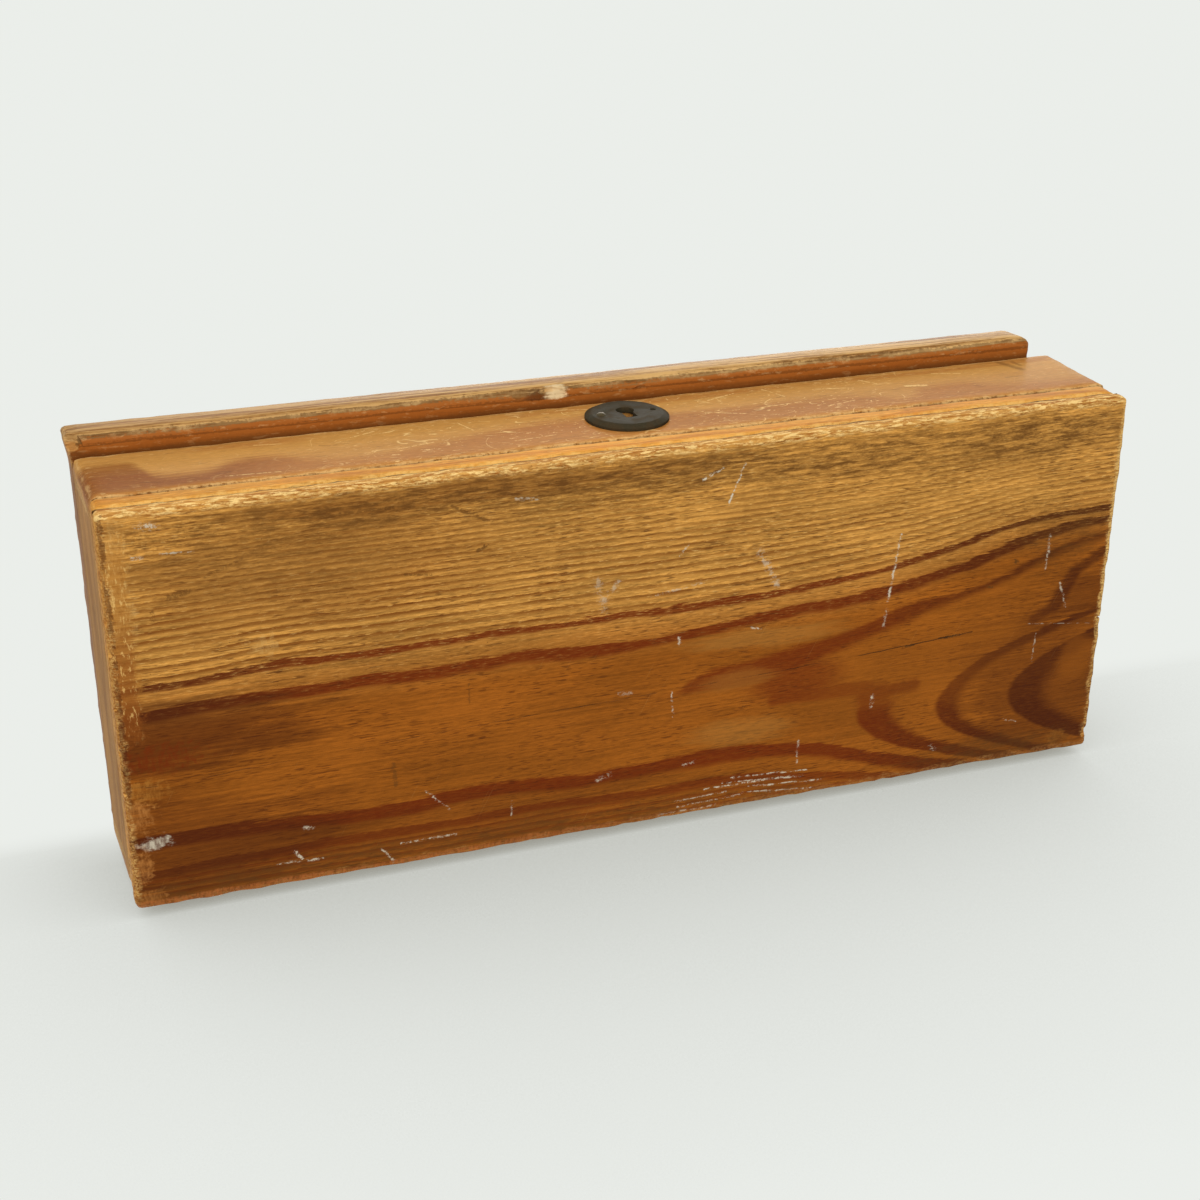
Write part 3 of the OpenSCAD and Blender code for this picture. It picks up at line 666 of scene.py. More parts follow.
baseMarks = dict(
    whiteThin=0.7,
    white=[
        ((140, 6.3), (160, 6), 0.4, 0.8), ((147, 8.3), (168, 7), 0.4, 0.7),
        ((133, 2.6), (150, 3), 0.4, 0.7), ((152, 5), (172, 3.4), 0.36, 0.7),
        ((143.6, 80.8), (147.4, 90.2), 0.5, 0.85), ((137, 87.6), (142, 90), 0.6, 0.8),
        ((131.8, 69.6), (134, 72.2), 0.55, 0.8), ((125, 60.3), (138.5, 62.2), 0.5, 0.4),
        ((152.5, 67.8), (157, 59), 1.6, 0.4), ((111.5, 66), (113, 58.5), 1.7, 0.25),
        ((113, 61), (116.5, 65), 1.3, 0.35), ((189.6, 67.4), (187.3, 50.5), 0.6, 0.75),
        ((187.2, 48), (186.8, 44), 0.7, 0.45), ((231.8, 62), (231.4, 53), 0.65, 0.55),
        ((236.2, 48.5), (238.6, 41.5), 0.5, 0.5), ((230.7, 35.2), (230.4, 27.5), 0.4, 0.4),
        ((185, 25), (185, 21.8), 0.8, 0.7), ((132.3, 48.8), (132.3, 47), 0.7, 0.7),
        ((69, 18.6), (74.5, 13), 0.45, 0.6), ((37.2, 8.8), (38.8, 6), 0.7, 0.75),
        ((33, 5.8), (44, 5.5), 0.5, 0.6), ((58, 5), (60.5, 1.2), 0.65, 0.6),
        ((62.5, 5.8), (76, 5.8), 0.45, 0.6), ((90, 12), (90, 8.5), 0.45, 0.5),
        ((112, 14), (115, 15), 0.9, 0.5), ((134, 14), (137, 14.5), 0.7, 0.5),
        ((130.6, 34.6), (131.2, 27.8), 0.4, 0.6), ((151, 48.6), (153.3, 47.9), 0.55, 0.6),
        ((145, 7.2), (167, 5.4), 0.42, 0.75), ((132, 4.2), (146, 4.6), 0.4, 0.6),
        ((150, 3.6), (170, 1.4), 0.42, 0.55), ((128, 1.2), (143, 1.2), 0.55, 0.55),
        ((165, 15.5), (165, 9.5), 0.6, 0.5), ((203, 7.6), (204.2, 6.6), 0.9, 0.85),
        ((224, 11.8), (227.5, 10.6), 0.45, 0.5), ((40, 14.3), (41.5, 14), 0.9, 0.55),
        ((117, 36.4), (120, 36), 0.9, 0.35), ((13, 85.8), (20, 85.4), 0.4, 0.5),
        ((9, 92.5), (12.5, 92), 1.3, 0.6), ((7, 85.6), (9, 85.4), 0.9, 0.6),
        ((228, 38.4), (248, 35.6), 0.22, 0.3), ((92, 88.6), (97, 88), 0.7, 0.4),
    ],
    dark=[
        ((14, 75.8), (18, 76.6), 1.1, 0.6), ((77, 88.5), (86, 84), 0.6, 0.6),
        ((83, 77.5), (85, 78.5), 0.8, 0.8), ((66, 74), (72, 73), 0.55, 0.6),
        ((22, 79.5), (30, 82.5), 0.6, 0.4), ((61.5, 27), (61.8, 21.5), 0.9, 0.5),
        ((80, 45), (80, 40), 0.4, 0.5), ((222.3, 56.3), (222.8, 55.9), 0.9, 0.9),
        ((214.5, 50.3), (216.5, 50), 0.5, 0.8), ((192.5, 37.2), (195.5, 37.4), 0.6, 0.9),
        ((202.5, 37.9), (209, 38.2), 0.45, 0.9),
        ((10.2, 73), (10.2, 71), 0.7, 0.6), ((52, 90.3), (64, 90), 0.5, 0.5),
    ],
    crack=[((5, 31), (88, 34), 0.22, 0.4), ((88, 34), (150, 35.4), 0.24, 0.5),
           ((150, 35.4), (178, 36.5), 0.22, 0.5), ((178, 36.5), (212, 38.4), 0.2, 0.8)],
)

# stains and bare spots: middle, radii, colour, amount
basePatches = dict(
    soft=[
        ((44, 78), (52, 20), "goldLine", 0.36), ((80, 91.5), (60, 3.2), "goldLine", 0.4),
        ((60, 9), (90, 9), "deepBand", 0.3),
        ((5, 42.5), (46, 10.5), "deepBand", 0.7), ((205, 30), (40, 14), "amber", 0.3),
        ((6, 14), (50, 16), "deepBand", 0.52), ((240, 20), (34, 24), "deepBand", 0.46),
        ((246, 44), (14, 8), "deepBand", 0.5), ((155, 45.5), (22, 3), "gold", 0.25),
        ((150, 21), (16, 4), "gold", 0.22), ((148, 35), (12, 3), "stripGold", 0.35),
        ((243.5, 27), (6, 8.5), "amber", 0.45),
    ],
    grimy=[
        ((75, 91), (60, 5), "dirt", 0.66), ((222, 88.5), (32, 6.5), "dirt", 0.72),
        ((132, 90), (40, 5), "dirt", 0.58), ((180, 88.5), (26, 6), "dirt", 0.62),
        ((36, 80), (40, 9), "dirt", 0.42), ((70, 2), (110, 6), "dirt", 0.7),
        ((225, 3), (30, 5), "dirt", 0.65), ((238, 62), (16, 10), "dirt", 0.55),
    ],
    rough=[
        ((33.5, 61.5), (4, 2.4), "worn", 0.4), ((3, 88), (3.4, 8), "worn", 0.42),
        ((3, 74), (3.6, 10), "worn", 0.46), ((3, 58), (3.6, 8), "stripGold", 0.6),
        ((3.4, 47), (3.8, 6), "glow", 0.7), ((8.5, 37.5), (9.5, 3.8), "band", 0.8),
        ((4.6, 30), (5.6, 3.4), "stripGold", 0.62), ((2.6, 24), (3.6, 4.5), "peach", 0.6),
        ((6, 16.6), (3.6, 1.8), "pale", 0.8), ((2.4, 11), (2.6, 4.5), "peach", 0.6),
        ((3, 3), (5, 2), "peach", 0.4), ((240.5, 4), (3.6, 2.2), "stripGold", 0.22),
    ],
)


def bandBetween(value, foot, top, soft):
    rise = fade(value - foot, -soft, soft)
    drop = fade(top - value, -soft * 0.6, soft * 0.6)
    return rise * drop


def bandAround(value, middle, under, over):
    away = value - middle
    rise = fade(away, -under * 1.25, -under * 0.45)
    drop = fade(away, over * 1.15, over * 0.75)
    return rise * drop


def flameBand(value, start, full, end):
    return fade(value, start - 0.9, start + 0.9) * fade(value, end, full)


# the hook, its tail and the band at the right end, drawn as strokes: from, to, width, amount
baseStrokes = [
    ((158, 28.4), (184, 27.2), 3.2, 0.85), ((183.5, 24.8), (187.5, 25.4), 4.8, 1),
    ((187.5, 25.6), (196.5, 26.4), 3, 1), ((250, 56.4), (240.5, 51.8), 2.4, 0.9),
    ((240.5, 51.8), (237.5, 46), 3, 0.9), ((237.5, 46), (235, 42.4), 3.2, 0.85),
    ((235, 42.4), (229.5, 39.2), 2.4, 0.8),
]


def baseCurve(left, name):
    return handCurve(left, baseBoard[name], *baseBoard["span"])


def baseBands(left, back):
    # bands drawn as curves, and the flame at the right as parabolas that open to the right
    bands = bandAround(back, baseCurve(left, "topBand"), 1.0, 0.9)
    bands = larger(bands, bandAround(back, baseCurve(left, "upperBand"), 1.7, 1.4))
    bands = larger(bands, bandAround(back, baseCurve(left, "lowerBand"), 2.2, 1.9))
    bands = larger(bands, bandAround(back, baseCurve(left, "footBand"), 1.4, 1.1) * 0.8)
    tongue = bandBetween(back, baseCurve(left, "tongueFoot"), baseCurve(left, "tongueTop"), 1.5)
    bands = larger(bands, tongue * fade(left, 122.0, 138.0, 0.0, 0.92))
    rise = back - 19.0
    flame = left - rise * rise * 0.095
    bow = back - 20.5
    hook = left - bow * bow * 0.1
    low = fade(back, 25.0, 21.5)
    bands = larger(bands, flameBand(hook, 181.0, 188.5, 193.0) * low)
    under = fade(back, 42.0, 38.0)
    bands = larger(bands, flameBand(flame, 203.4, 207.5, 212.5) * under)
    bands = larger(bands, flameBand(flame, 224.4, 231.5, 239.0) * under)
    spot = joined(left, back, 0.0)
    bands = larger(bands, markLayer(spot, baseStrokes, 0.95))
    blob = patchAt(spot, (164.0, 32.4, 0.0), (15.0, 6.4, 1.0), 0.0)
    return larger(bands, blob * 0.78)


def fineLines(left, back):
    # close-set rings between the top band and the front edge, and a few under the lowest band
    topBand = baseCurve(left, "topBand")
    room = 98.0 - topBand
    climb = (back - topBand) / room * 42.0
    squared = climb * climb * 0.0062
    upper = useGroup(ringGroup, Phase=climb * 0.38 + squared)["Late"]
    upper *= fade(climb, 0.6, 2.0)
    upper *= fade(climb, 8.0, 34.0, 1.0, 0.50)
    upper *= fade(left, 110.0, 220.0, 1.0, 0.72)
    lower = useGroup(ringGroup, Phase=back * 0.55)["Late"]
    foot = baseCurve(left, "footBand")
    lower *= fade(foot - back, 1.0, 2.0, 0.0, 0.6)
    return upper, lower, fade(climb, -13.0, 9.0)


def markLayer(spot, marks, broken, specks=0.0, thin=1.0):
    layer = 0.0
    for start, stop, width, amount in marks:
        ends = dict(Start=(*start, 0.0), Stop=(*stop, 0.0))
        mark = useGroup(scuffGroup, Place=spot, Width=width * thin, Broken=broken, Specks=specks, **ends)
        layer = larger(layer, mark["Mark"] * amount)
    return layer


def hairlines(place, scale, width, amount):
    # thin curved scratches: level lines of a slow noise, shown only here and there
    slow = noise(place, scale, 0.0)
    line = fade(abs(slow - 0.5), width, width * 0.3)
    shown = noise(vectorCalc("ADD", place, (17.0, 5.0, 11.0)), scale * 2.1, 2.0)
    return line * fade(shown, 0.52, 0.62, 0.0, amount)


def basePine():
    look = baseBoard
    material, tree, shader = newMaterial("basePine", look["shine"])
    place = placeInMillimetres(tree)
    fibre = useGroup(fibreGroup, Place=place)
    sway = noise(place, (0.03, 0.08, 0.08), 2.0)
    jitter = noise(place, (0.16, 0.9, 0.9), 2.0)
    grit = fibre["Grit"]
    blotch = noise(place, (0.045, 0.16, 0.16), 4.0, 0.62)
    x, y, z = split(place)
    left = x + look["halfLength"]
    straightBack = look["backEdge"] - y
    back = straightBack + (nudge(sway, 2.2) + nudge(jitter, 0.8))
    feathered = back + nudge(fibre["Streak"], 2.0)
    feathered += nudge(fibre["Hair"], 1.0)
    feathered += nudge(blotch, 2.0)
    # marks wander a little with the grain
    spot = joined(left + nudge(jitter, 1.0), straightBack + nudge(jitter, 0.8), z)

    level = straightBack + (nudge(sway, 1.2) + nudge(jitter, 0.2))
    level += nudge(fibre["Hair"], 0.9)
    upper, lower, gilded = fineLines(left, level + nudge(fibre["Streak"], 0.5))
    bands = baseBands(left, feathered)

    # ground colour, streaked and clouded
    ground = Coat(colourMix(gilded, look["amber"], look["gold"]))
    deep = 0.15 + gilded * 0.10
    tone = 1.0 + fade(fibre["Streak"], 0.30, 0.70, -1.0, 1.0) * deep
    tone += fade(fibre["Hair"], 0.30, 0.70, -1.0, 1.0) * deep
    tone *= fade(fibre["Cloud"], 0.25, 0.75, 0.80, 1.14)
    ground.lay(1.0, grey(tone), "MULTIPLY")
    ground.lay(upper * fade(blotch, 0.3, 0.6, 0.4, 0.95), look["goldLine"])
    ground.lay(lower, look["band"])
    bandColour = colourMix(fade(left, 165.0, 235.0), look["band"], look["deepBand"])
    bandColour = colourMix(fade(left, 60.0, 5.0, 0.0, 0.7), bandColour, look["deepBand"])
    soaked = bands * fade(fibre["Hair"], 0.35, 0.70, 0.98, 0.74)
    ground.lay(soaked, bandColour)
    speckled = fibre["Pores"] * 0.55 + fibre["Dashes"] * 0.22
    ground.lay(speckled, look["deepBand"])
    flaked = fade(fibre["Hair"], 0.58, 0.70, 0.0, 0.55) * gilded
    ground.lay(flaked, look["flake"])

    # stains, then the grimy zone along the front and the abraded strip at the left end
    raggedness = dict(
        soft=nudge(blotch, 1.2) + nudge(fibre["Streak"], 0.8),
        grimy=nudge(blotch, 1.4) + nudge(grit, 1.0),
        rough=nudge(noise(place, (0.45, 0.65, 0.65), 5.0, 0.66), 3.4),
    )
    streaky = noise(place, (0.15, 0.75, 0.75), 5.0, 0.74)
    cross = noise(place, (0.9, 0.30, 1.0), 5.0, 0.75)
    held = dict(grimy=fade(streaky, 0.40, 0.64, 0.30, 1.0), rough=fade(cross, 0.38, 0.62, 0.25, 1.0))
    for kind, patches in basePatches.items():
        for centre, radius, colour, amount in patches:
            patch = patchAt(spot, (*centre, 0.0), (*radius, 2.5), raggedness[kind])
            amount = held[kind] * amount if kind in held else amount
            ground.lay(patch * amount, look[colour])
    zone = fade(straightBack, 78.0, 89.0) * fade(straightBack, 95.0, 92.0)
    zone *= fade(streaky + nudge(grit, 0.4), 0.44, 0.66, 0.0, 0.6)
    ground.lay(zone, look["dirt"])
    strip = fade(left + (nudge(jitter, 2.4) + nudge(grit, 3.0)), 6.2, 4.6)
    strip *= fade(straightBack, 40.0, 50.0)
    strip *= fade(straightBack, 84.0, 92.0, 1.0, 0.3)
    stripColour = colourMix(fade(straightBack, 60.0, 76.0), look["glow"], look["stripGold"])
    stripColour = colourMix(fade(cross, 0.30, 0.48, 0.7, 0.0), stripColour, look["goldLine"])
    stripColour = colourMix(fade(cross, 0.54, 0.62, 0.0, 0.9), stripColour, look["flake"])
    ground.lay(strip * 0.62, stripColour)

    # worn edges, then marks on top
    centre, half = boardBox("base_board")
    wear = dict(Reach=look["wornReach"], Ragged=look["wornRagged"])
    edge = useGroup(edgeGroup, Place=place, Centre=centre, Half=half, **wear)
    bare = edge["Edge"] * fade(grit, 0.34, 0.54)
    bare *= fade(straightBack, 1.5, 4.0, 0.35, 1.0)
    wornColour = colourMix(fade(fibre["Hair"], 0.36, 0.62), look["amber"], look["worn"])
    ground.lay(bare * 0.85, wornColour)
    footRim = fade(straightBack + nudge(blotch, 3.6), 2.2, 1.2)
    footRim *= fade(cross, 0.36, 0.60, 0.15, 0.75)
    footRim *= fade(left, 80.0, 150.0, 1.0, 0.25)
    ground.lay(footRim, look["ember"])
    rim = fade(left + nudge(grit, 2.6), 248.2, 249.2) * fade(straightBack, 16.0, 40.0)
    ground.lay(rim * fade(fibre["Hair"], 0.36, 0.54, 0.2, 0.9), look["flake"])
    nicks = fade(noise(place, (0.3, 0.16, 0.5), 4.0, 0.7), 0.42, 0.54)
    nicks *= bandAround(left + nudge(grit, 2.4), 1.1, 0.6, 0.7)
    nicks *= fade(straightBack, 20.0, 34.0, 0.0, 0.6)
    ground.lay(nicks, look["deepBand"])
    side = fade(z + nudge(grit, 1.6), 0.35, 1.0)
    sideColour = colourMix(fade(fibre["Streak"], 0.38, 0.60), look["sideLine"], look["sideGold"])
    flecks = fade(noise(place, (0.35, 1.6, 1.6), 4.0, 0.7), 0.50, 0.60)
    flecks *= fade(abs(y), 46.0, 47.0, 0.1, 0.75)
    sideColour = colourMix(flecks, sideColour, look["fleck"])
    ground.lay(side * 0.92, sideColour)
    frontEdge = fade(straightBack + nudge(blotch, 4.0), 93.4, 94.6)
    ground.lay(frontEdge * flecks, look["fleck"])
    joint = fade(z + nudge(grit, 1.0), 3.5, 4.0, 0.0, 0.85)
    ground.lay(joint, look["split"])
    worn = larger(bare, side)
    turn = {"Vector": place, "Angle": math.radians(look["scratchTurn"])}
    slant = reading(tree, "VectorRotate", 0, turn, rotation_type="Z_AXIS")
    scratched = noise(slant, (0.05, 5.0, 1.0), 2.0, 0.6)
    ground.lay(fade(scratched, 0.70, 0.78, 0.0, 0.22), look["worn"])
    specks = noise(place, 1.6, 2.0, 0.6)
    ground.lay(fade(specks, 0.70, 0.76, 0.0, 0.55), look["deepBand"])
    dark = markLayer(spot, baseMarks["dark"], fade(grit, 0.38, 0.52))
    ground.lay(dark, look["dirt"])
    crack = markLayer(spot, baseMarks["crack"], fade(noise(place, 0.14, 2.0), 0.3, 0.6))
    ground.lay(crack, look["split"])
    broken = fade(noise(place, 0.5, 5.0, 0.75), 0.42, 0.60, 0.0, 1.2)
    fine = fade(noise(place, (1.2, 2.0, 2.0), 2.0, 0.6), 0.52, 0.64, 0.0, 0.6)
    white = markLayer(spot, baseMarks["white"], broken, fine, baseMarks["whiteThin"])
    ground.lay(white, look["pale"])

    rough = fade(gilded, 0.0, 1.0, 0.40, 0.55) + worn * 0.16
    rough += nudge(grit, 0.25)
    height = fibre["Streak"] * 0.6 + fibre["Hair"] * 0.35
    height += grit * (0.2 + bare * 1.2)
    height -= crack * 1.5
    dress(tree, shader, ground.colour, rough, height, look["bump"])
    return material


def buildBoard(name, node, body, board, material):
    piece = startBoard(name, node, board["radii"])
    cutFine(piece, board["cuts"])
    chewEdges(piece, node, board["chew"])
    if "endWear" in board:
        wearEnds(piece, board["endWear"])
    for chip in board.get("chips", []):
        cutAway(piece, addChip(chip))
    for cutter in board.get("letIn", []):
        cutAway(piece, cutter())
    finishBoard(piece, node, body, material)


buildBoard("wornBaseBoard", "base_board", "box", baseBoard, basePine())


# the other boards share one pine finish with their own colours and grain

bottomPanel = dict(
    radii=dict(x=(1.1, 1.0, 1.0, 1.1), y=(1.0, 1.0, 1.1, 1.1), z=(1.8, 3.0, 1.8, 1.8)),
    cuts=(150, 40, 3),
    chew=dict(reach=2.2, size=4.0, depth=1.0, wave=0.2),
    light=tint(208, 144, 60), dark=tint(180, 108, 38), bare=tint(196, 158, 104), worn=tint(232, 188, 110),
    grime=tint(110, 66, 26), seam=tint(84, 47, 18), middle=7.6,  # mm, height of the board's middle
    ringCentre=(0.0, 30.0, -26.0), ringWidth=2.6, grainAlong="x", band=0.55,
    wornReach=1.6, wornRagged=4.5, wornAmount=0.6, gloss=0.5, shine=0.02, scratchTurn=20.0,
    bareBox=((-116.2, -39.8, 10.6), (116.2, 39.8, 12.0)),
)

frontWall = dict(
    radii=dict(x=(0.8, 0.2, 0.2, 0.6), y=(0.4, 0.6, 0.9, 0.4), z=(2.4, 1.4, 0.2, 0.2)),
    cuts=(150, 3, 14),
    chew=dict(reach=2.0, size=4.5, depth=0.7, wave=0.25),
    light=tint(192, 138, 68), dark=tint(160, 100, 42), bare=tint(190, 152, 102), worn=tint(222, 184, 122),
    grime=tint(92, 58, 32),
    ringCentre=(0.0, -66.0, 2.0), ringWidth=15.0, grainAlong="x", band=0.85,
    wornReach=1.3, wornRagged=3.5, wornAmount=0.6, gloss=0.36, shine=0.01, scratchTurn=35.0,
    bareBox=((-126.0, -44.5, 10.0), (126.0, -39.0, 38.0)),
)

backWall = dict(
    frontWall,
    radii=dict(x=(0.2, 0.4, 0.6, 0.2), y=(0.4, 0.6, 0.6, 0.4), z=(0.2, 0.2, 1.4, 1.4)),
    ringCentre=(0.0, 70.0, 8.0),
    bareBox=((-126.0, 39.0, 10.0), (126.0, 44.5, 38.0)),
)

endWalls = dict(
    radii=dict(x=(0.2, 0.2, 0.2, 0.2), y=(0.4, 0.9, 0.2, 0.2), z=(0.2, 0.2, 0.2, 0.2)),
    cuts=(3, 60, 14),
    chew=dict(reach=1.6, size=4.0, depth=0.5, wave=0.25),
    light=tint(174, 128, 74), dark=tint(138, 92, 50), bare=tint(190, 152, 102), worn=tint(212, 174, 118),
    grime=tint(96, 64, 38),
    ringCentre=(-150.0, 0.0, 60.0), ringWidth=3.2, grainAlong="y", band=0.5,
    wornReach=1.2, wornRagged=3.0, wornAmount=0.5, gloss=0.5, shine=0.01, scratchTurn=55.0,
    bareBox=((-121.0, -45.0, 10.0), (121.0, 45.0, 38.0)),
)

lidBoard = dict(
    radii=dict(x=(2.6, 0.4, 1.4, 2.6), y=(1.0, 0.9, 3.8, 1.2), z=(1.4, 1.6, 1.4, 1.4)),
    cuts=(160, 64, 4),
    chew=dict(reach=3.0, size=5.0, depth=1.1, wave=0.3),
    endWear=dict(leftHold=-104.0, leftReach=21.9, corner=0.3, behind=1.1, cornerReach=9.0, skew=0.8,
                 frontEdge=-53.0, depth=101.0, rightHold=97.0, rightReach=22.1, slope=3.0, foot=37.6,
                 thick=10.0),
    chips=[
        dict(at=(-11.5, -52.4, 36.9), radius=(4.6, 2.6, 1.9), turn=(10, 0, 6)),
        dict(at=(-19.0, -51.6, 37.0), radius=(3.6, 1.8, 1.3)),
        dict(at=(11.0, -50.2, 37.3), radius=(2.0, 1.2, 0.8)),
        dict(at=(-125.0, -52.0, 37.6), radius=(3.4, 2.6, 2.2), turn=(0, 0, 30)),
        dict(at=(90.0, -53.2, 38.0), radius=(9.0, 1.0, 1.1)),
        dict(at=(-70.0, -53.3, 37.8), radius=(12.0, 1.0, 1.0), turn=(0, 0, 1)),
    ],
    light=tint(176, 122, 62), dark=tint(126, 72, 28), bare=tint(192, 154, 104), worn=tint(212, 174, 116),
    grime=tint(84, 52, 28),
    ringCentre=(0.0, -20.0, 2.0), ringWidth=4.0, grainAlong="x", band=0.6,
    wornReach=1.6, wornRagged=4.5, wornAmount=0.42, gloss=0.42, shine=0.03, scratchTurn=70.0,
    bareBox=((-116.2, -39.8, 36.0), (116.2, 39.8, 37.9)),
)


boardBump = (0.5, 0.2)  # strength, mm


def insideBox(place, low, high, soft=0.25):
    centre = tuple((a + b) / 2 for a, b in zip(low, high))
    half = tuple((b - a) / 2 for a, b in zip(low, high))
    offset = vectorCalc("ABSOLUTE", vectorCalc("SUBTRACT", place, centre))
    depth = split(vectorCalc("SUBTRACT", half, offset))
    least = smaller(depth[0], smaller(depth[1], depth[2]))
    return fade(least, -soft, soft)


def boardPine(name, node, board, extra=None):
    material, tree, shader = newMaterial(name, board["shine"])
    place = placeInMillimetres(tree)
    turned = place
    if board["grainAlong"] == "y":  # fibres run along X in the shared effect
        x, y, z = split(place)
        turned = joined(y, x, z)
    fibre = useGroup(fibreGroup, Place=vectorCalc("ADD", turned, (31.0, 7.0, 3.0)))
    sway = noise(turned, (0.012, 0.05, 0.05), output="Color")
    bend = scaled(vectorCalc("SUBTRACT", sway, (0.5, 0.5, 0.5)), (0.0, 14.0, 14.0))
    away = vectorCalc("SUBTRACT", vectorCalc("ADD", turned, bend), board["ringCentre"])
    reach = vectorCalc("LENGTH", scaled(away, (0.03, 1.0, 1.0)))
    late = useGroup(ringGroup, Phase=reach / board["ringWidth"])["Late"]
    grit = fibre["Grit"]
    tone = 1.0 + fade(fibre["Streak"], 0.30, 0.70, -0.14, 0.14)
    tone += fade(fibre["Hair"], 0.30, 0.70, -0.14, 0.14)
    tone *= fade(fibre["Cloud"], 0.25, 0.75, 0.84, 1.12)
    finish = colourMix(late * board["band"], board["light"], board["dark"])
    inside = insideBox(place, *board["bareBox"])
    bareLine = colourMix(late * 0.4, board["bare"], board["dark"])
    ground = Coat(colourMix(inside, finish, bareLine))
    ground.lay(1.0, grey(tone), "MULTIPLY")
    ground.lay(fibre["Pores"] * 0.35, board["grime"])
    turn = {"Vector": place, "Axis": (0.5, 0.5, 0.7), "Angle": math.radians(board["scratchTurn"])}
    slant = reading(tree, "VectorRotate", 0, turn, rotation_type="AXIS_ANGLE")
    scratched = noise(slant, (0.05, 4.0, 4.0), 2.0, 0.6)
    ground.lay(fade(scratched, 0.66, 0.74, 0.0, 0.35), board["worn"])
    specks = noise(place, 1.5, 2.0, 0.6)
    ground.lay(fade(specks, 0.69, 0.75, 0.0, 0.55), board["grime"])
    if extra:
        extra(place, ground, fibre)
    centre, half = boardBox(node)
    wear = dict(Reach=board["wornReach"], Ragged=board["wornRagged"])
    edge = useGroup(edgeGroup, Place=place, Centre=centre, Half=half, **wear)
    flakes = fade(noise(turned, (0.25, 0.9, 0.9), 4.0, 0.7), 0.56, 0.66)
    chipped = flakes * fade(edge["Distance"], 7.0, 1.0, 0.12, 1.0)
    worn = larger(edge["Edge"] * fade(grit, 0.32, 0.55), chipped * 0.7)
    worn *= board["wornAmount"]
    ground.lay(worn, board["worn"])
    dirty = fade(noise(turned, (0.1, 0.5, 0.5), 4.0, 0.7), 0.58, 0.72) * 0.4
    ground.lay(dirty, board["grime"])
    rough = board["gloss"] + larger(worn, inside) * 0.3
    rough += nudge(grit, 0.2)
    height = fibre["Streak"] * 0.4 + grit * 0.2
    height -= worn * 0.6
    dress(tree, shader, ground.colour, rough, height, boardBump)
    return material


wallLook = dict(
    tan=tint(186, 135, 69), red=tint(164, 106, 51), leftRed=tint(128, 73, 34), foot=tint(186, 126, 58),
    pale=tint(234, 198, 130), grime=tint(84, 54, 28), seam=tint(78, 44, 18),
    leftEnd=-124.5, frontEdge=-48.0, span=(250.0, 50.0),  # mm, span of the curve below
    # height of the border between the red foot and the tan upper part, along the wall
    border=[(0, 29.5), (10, 29.5), (16, 20.5), (24, 19.0), (32, 23.0), (38, 25.2), (50, 20.4), (63, 17.8),
            (75, 19.6), (88, 22.8), (100, 26.0), (113, 27.8), (126, 27.4), (138, 24.0), (157, 22.6),
            (178, 22.4), (190, 19.8), (197, 17.0), (204, 22.0), (213, 23.0), (224, 19.5), (250, 17.0)],
)

# marks on the wall: (along, height) in mm from the left end and from the floor
wallMarks = dict(
    pale=[
        ((62, 31), (68, 33.5), 0.35, 0.8), ((70, 20), (79, 22), 0.3, 0.7),
        ((88, 33), (90, 27), 0.35, 0.7), ((97, 17), (107, 18), 0.3, 0.6),
        ((150, 30), (158, 33), 0.4, 0.8), ((146, 22), (155, 18), 0.35, 0.8),
        ((160, 21), (171, 22), 0.35, 0.8), ((166, 34), (169, 27), 0.35, 0.7),
        ((178, 30), (188, 28), 0.35, 0.8), ((192, 33), (195, 29), 0.4, 0.8),
        ((176, 17), (184, 19), 0.35, 0.7), ((201, 25), (206, 24), 0.9, 0.8),
        ((212, 32), (219, 30), 0.35, 0.7), ((40, 33), (46, 32), 0.35, 0.6),
        ((30, 15), (42, 14), 0.35, 0.6), ((113, 34.5), (120, 33), 0.35, 0.7),
    ],
    dark=[
        ((233, 34.8), (235.5, 28), 2, 0.6), ((236.5, 34.5), (237, 31), 1.2, 0.5),
        ((12, 17), (16, 16), 0.5, 0.5), ((54, 28), (56, 27), 0.5, 0.5),
    ],
)


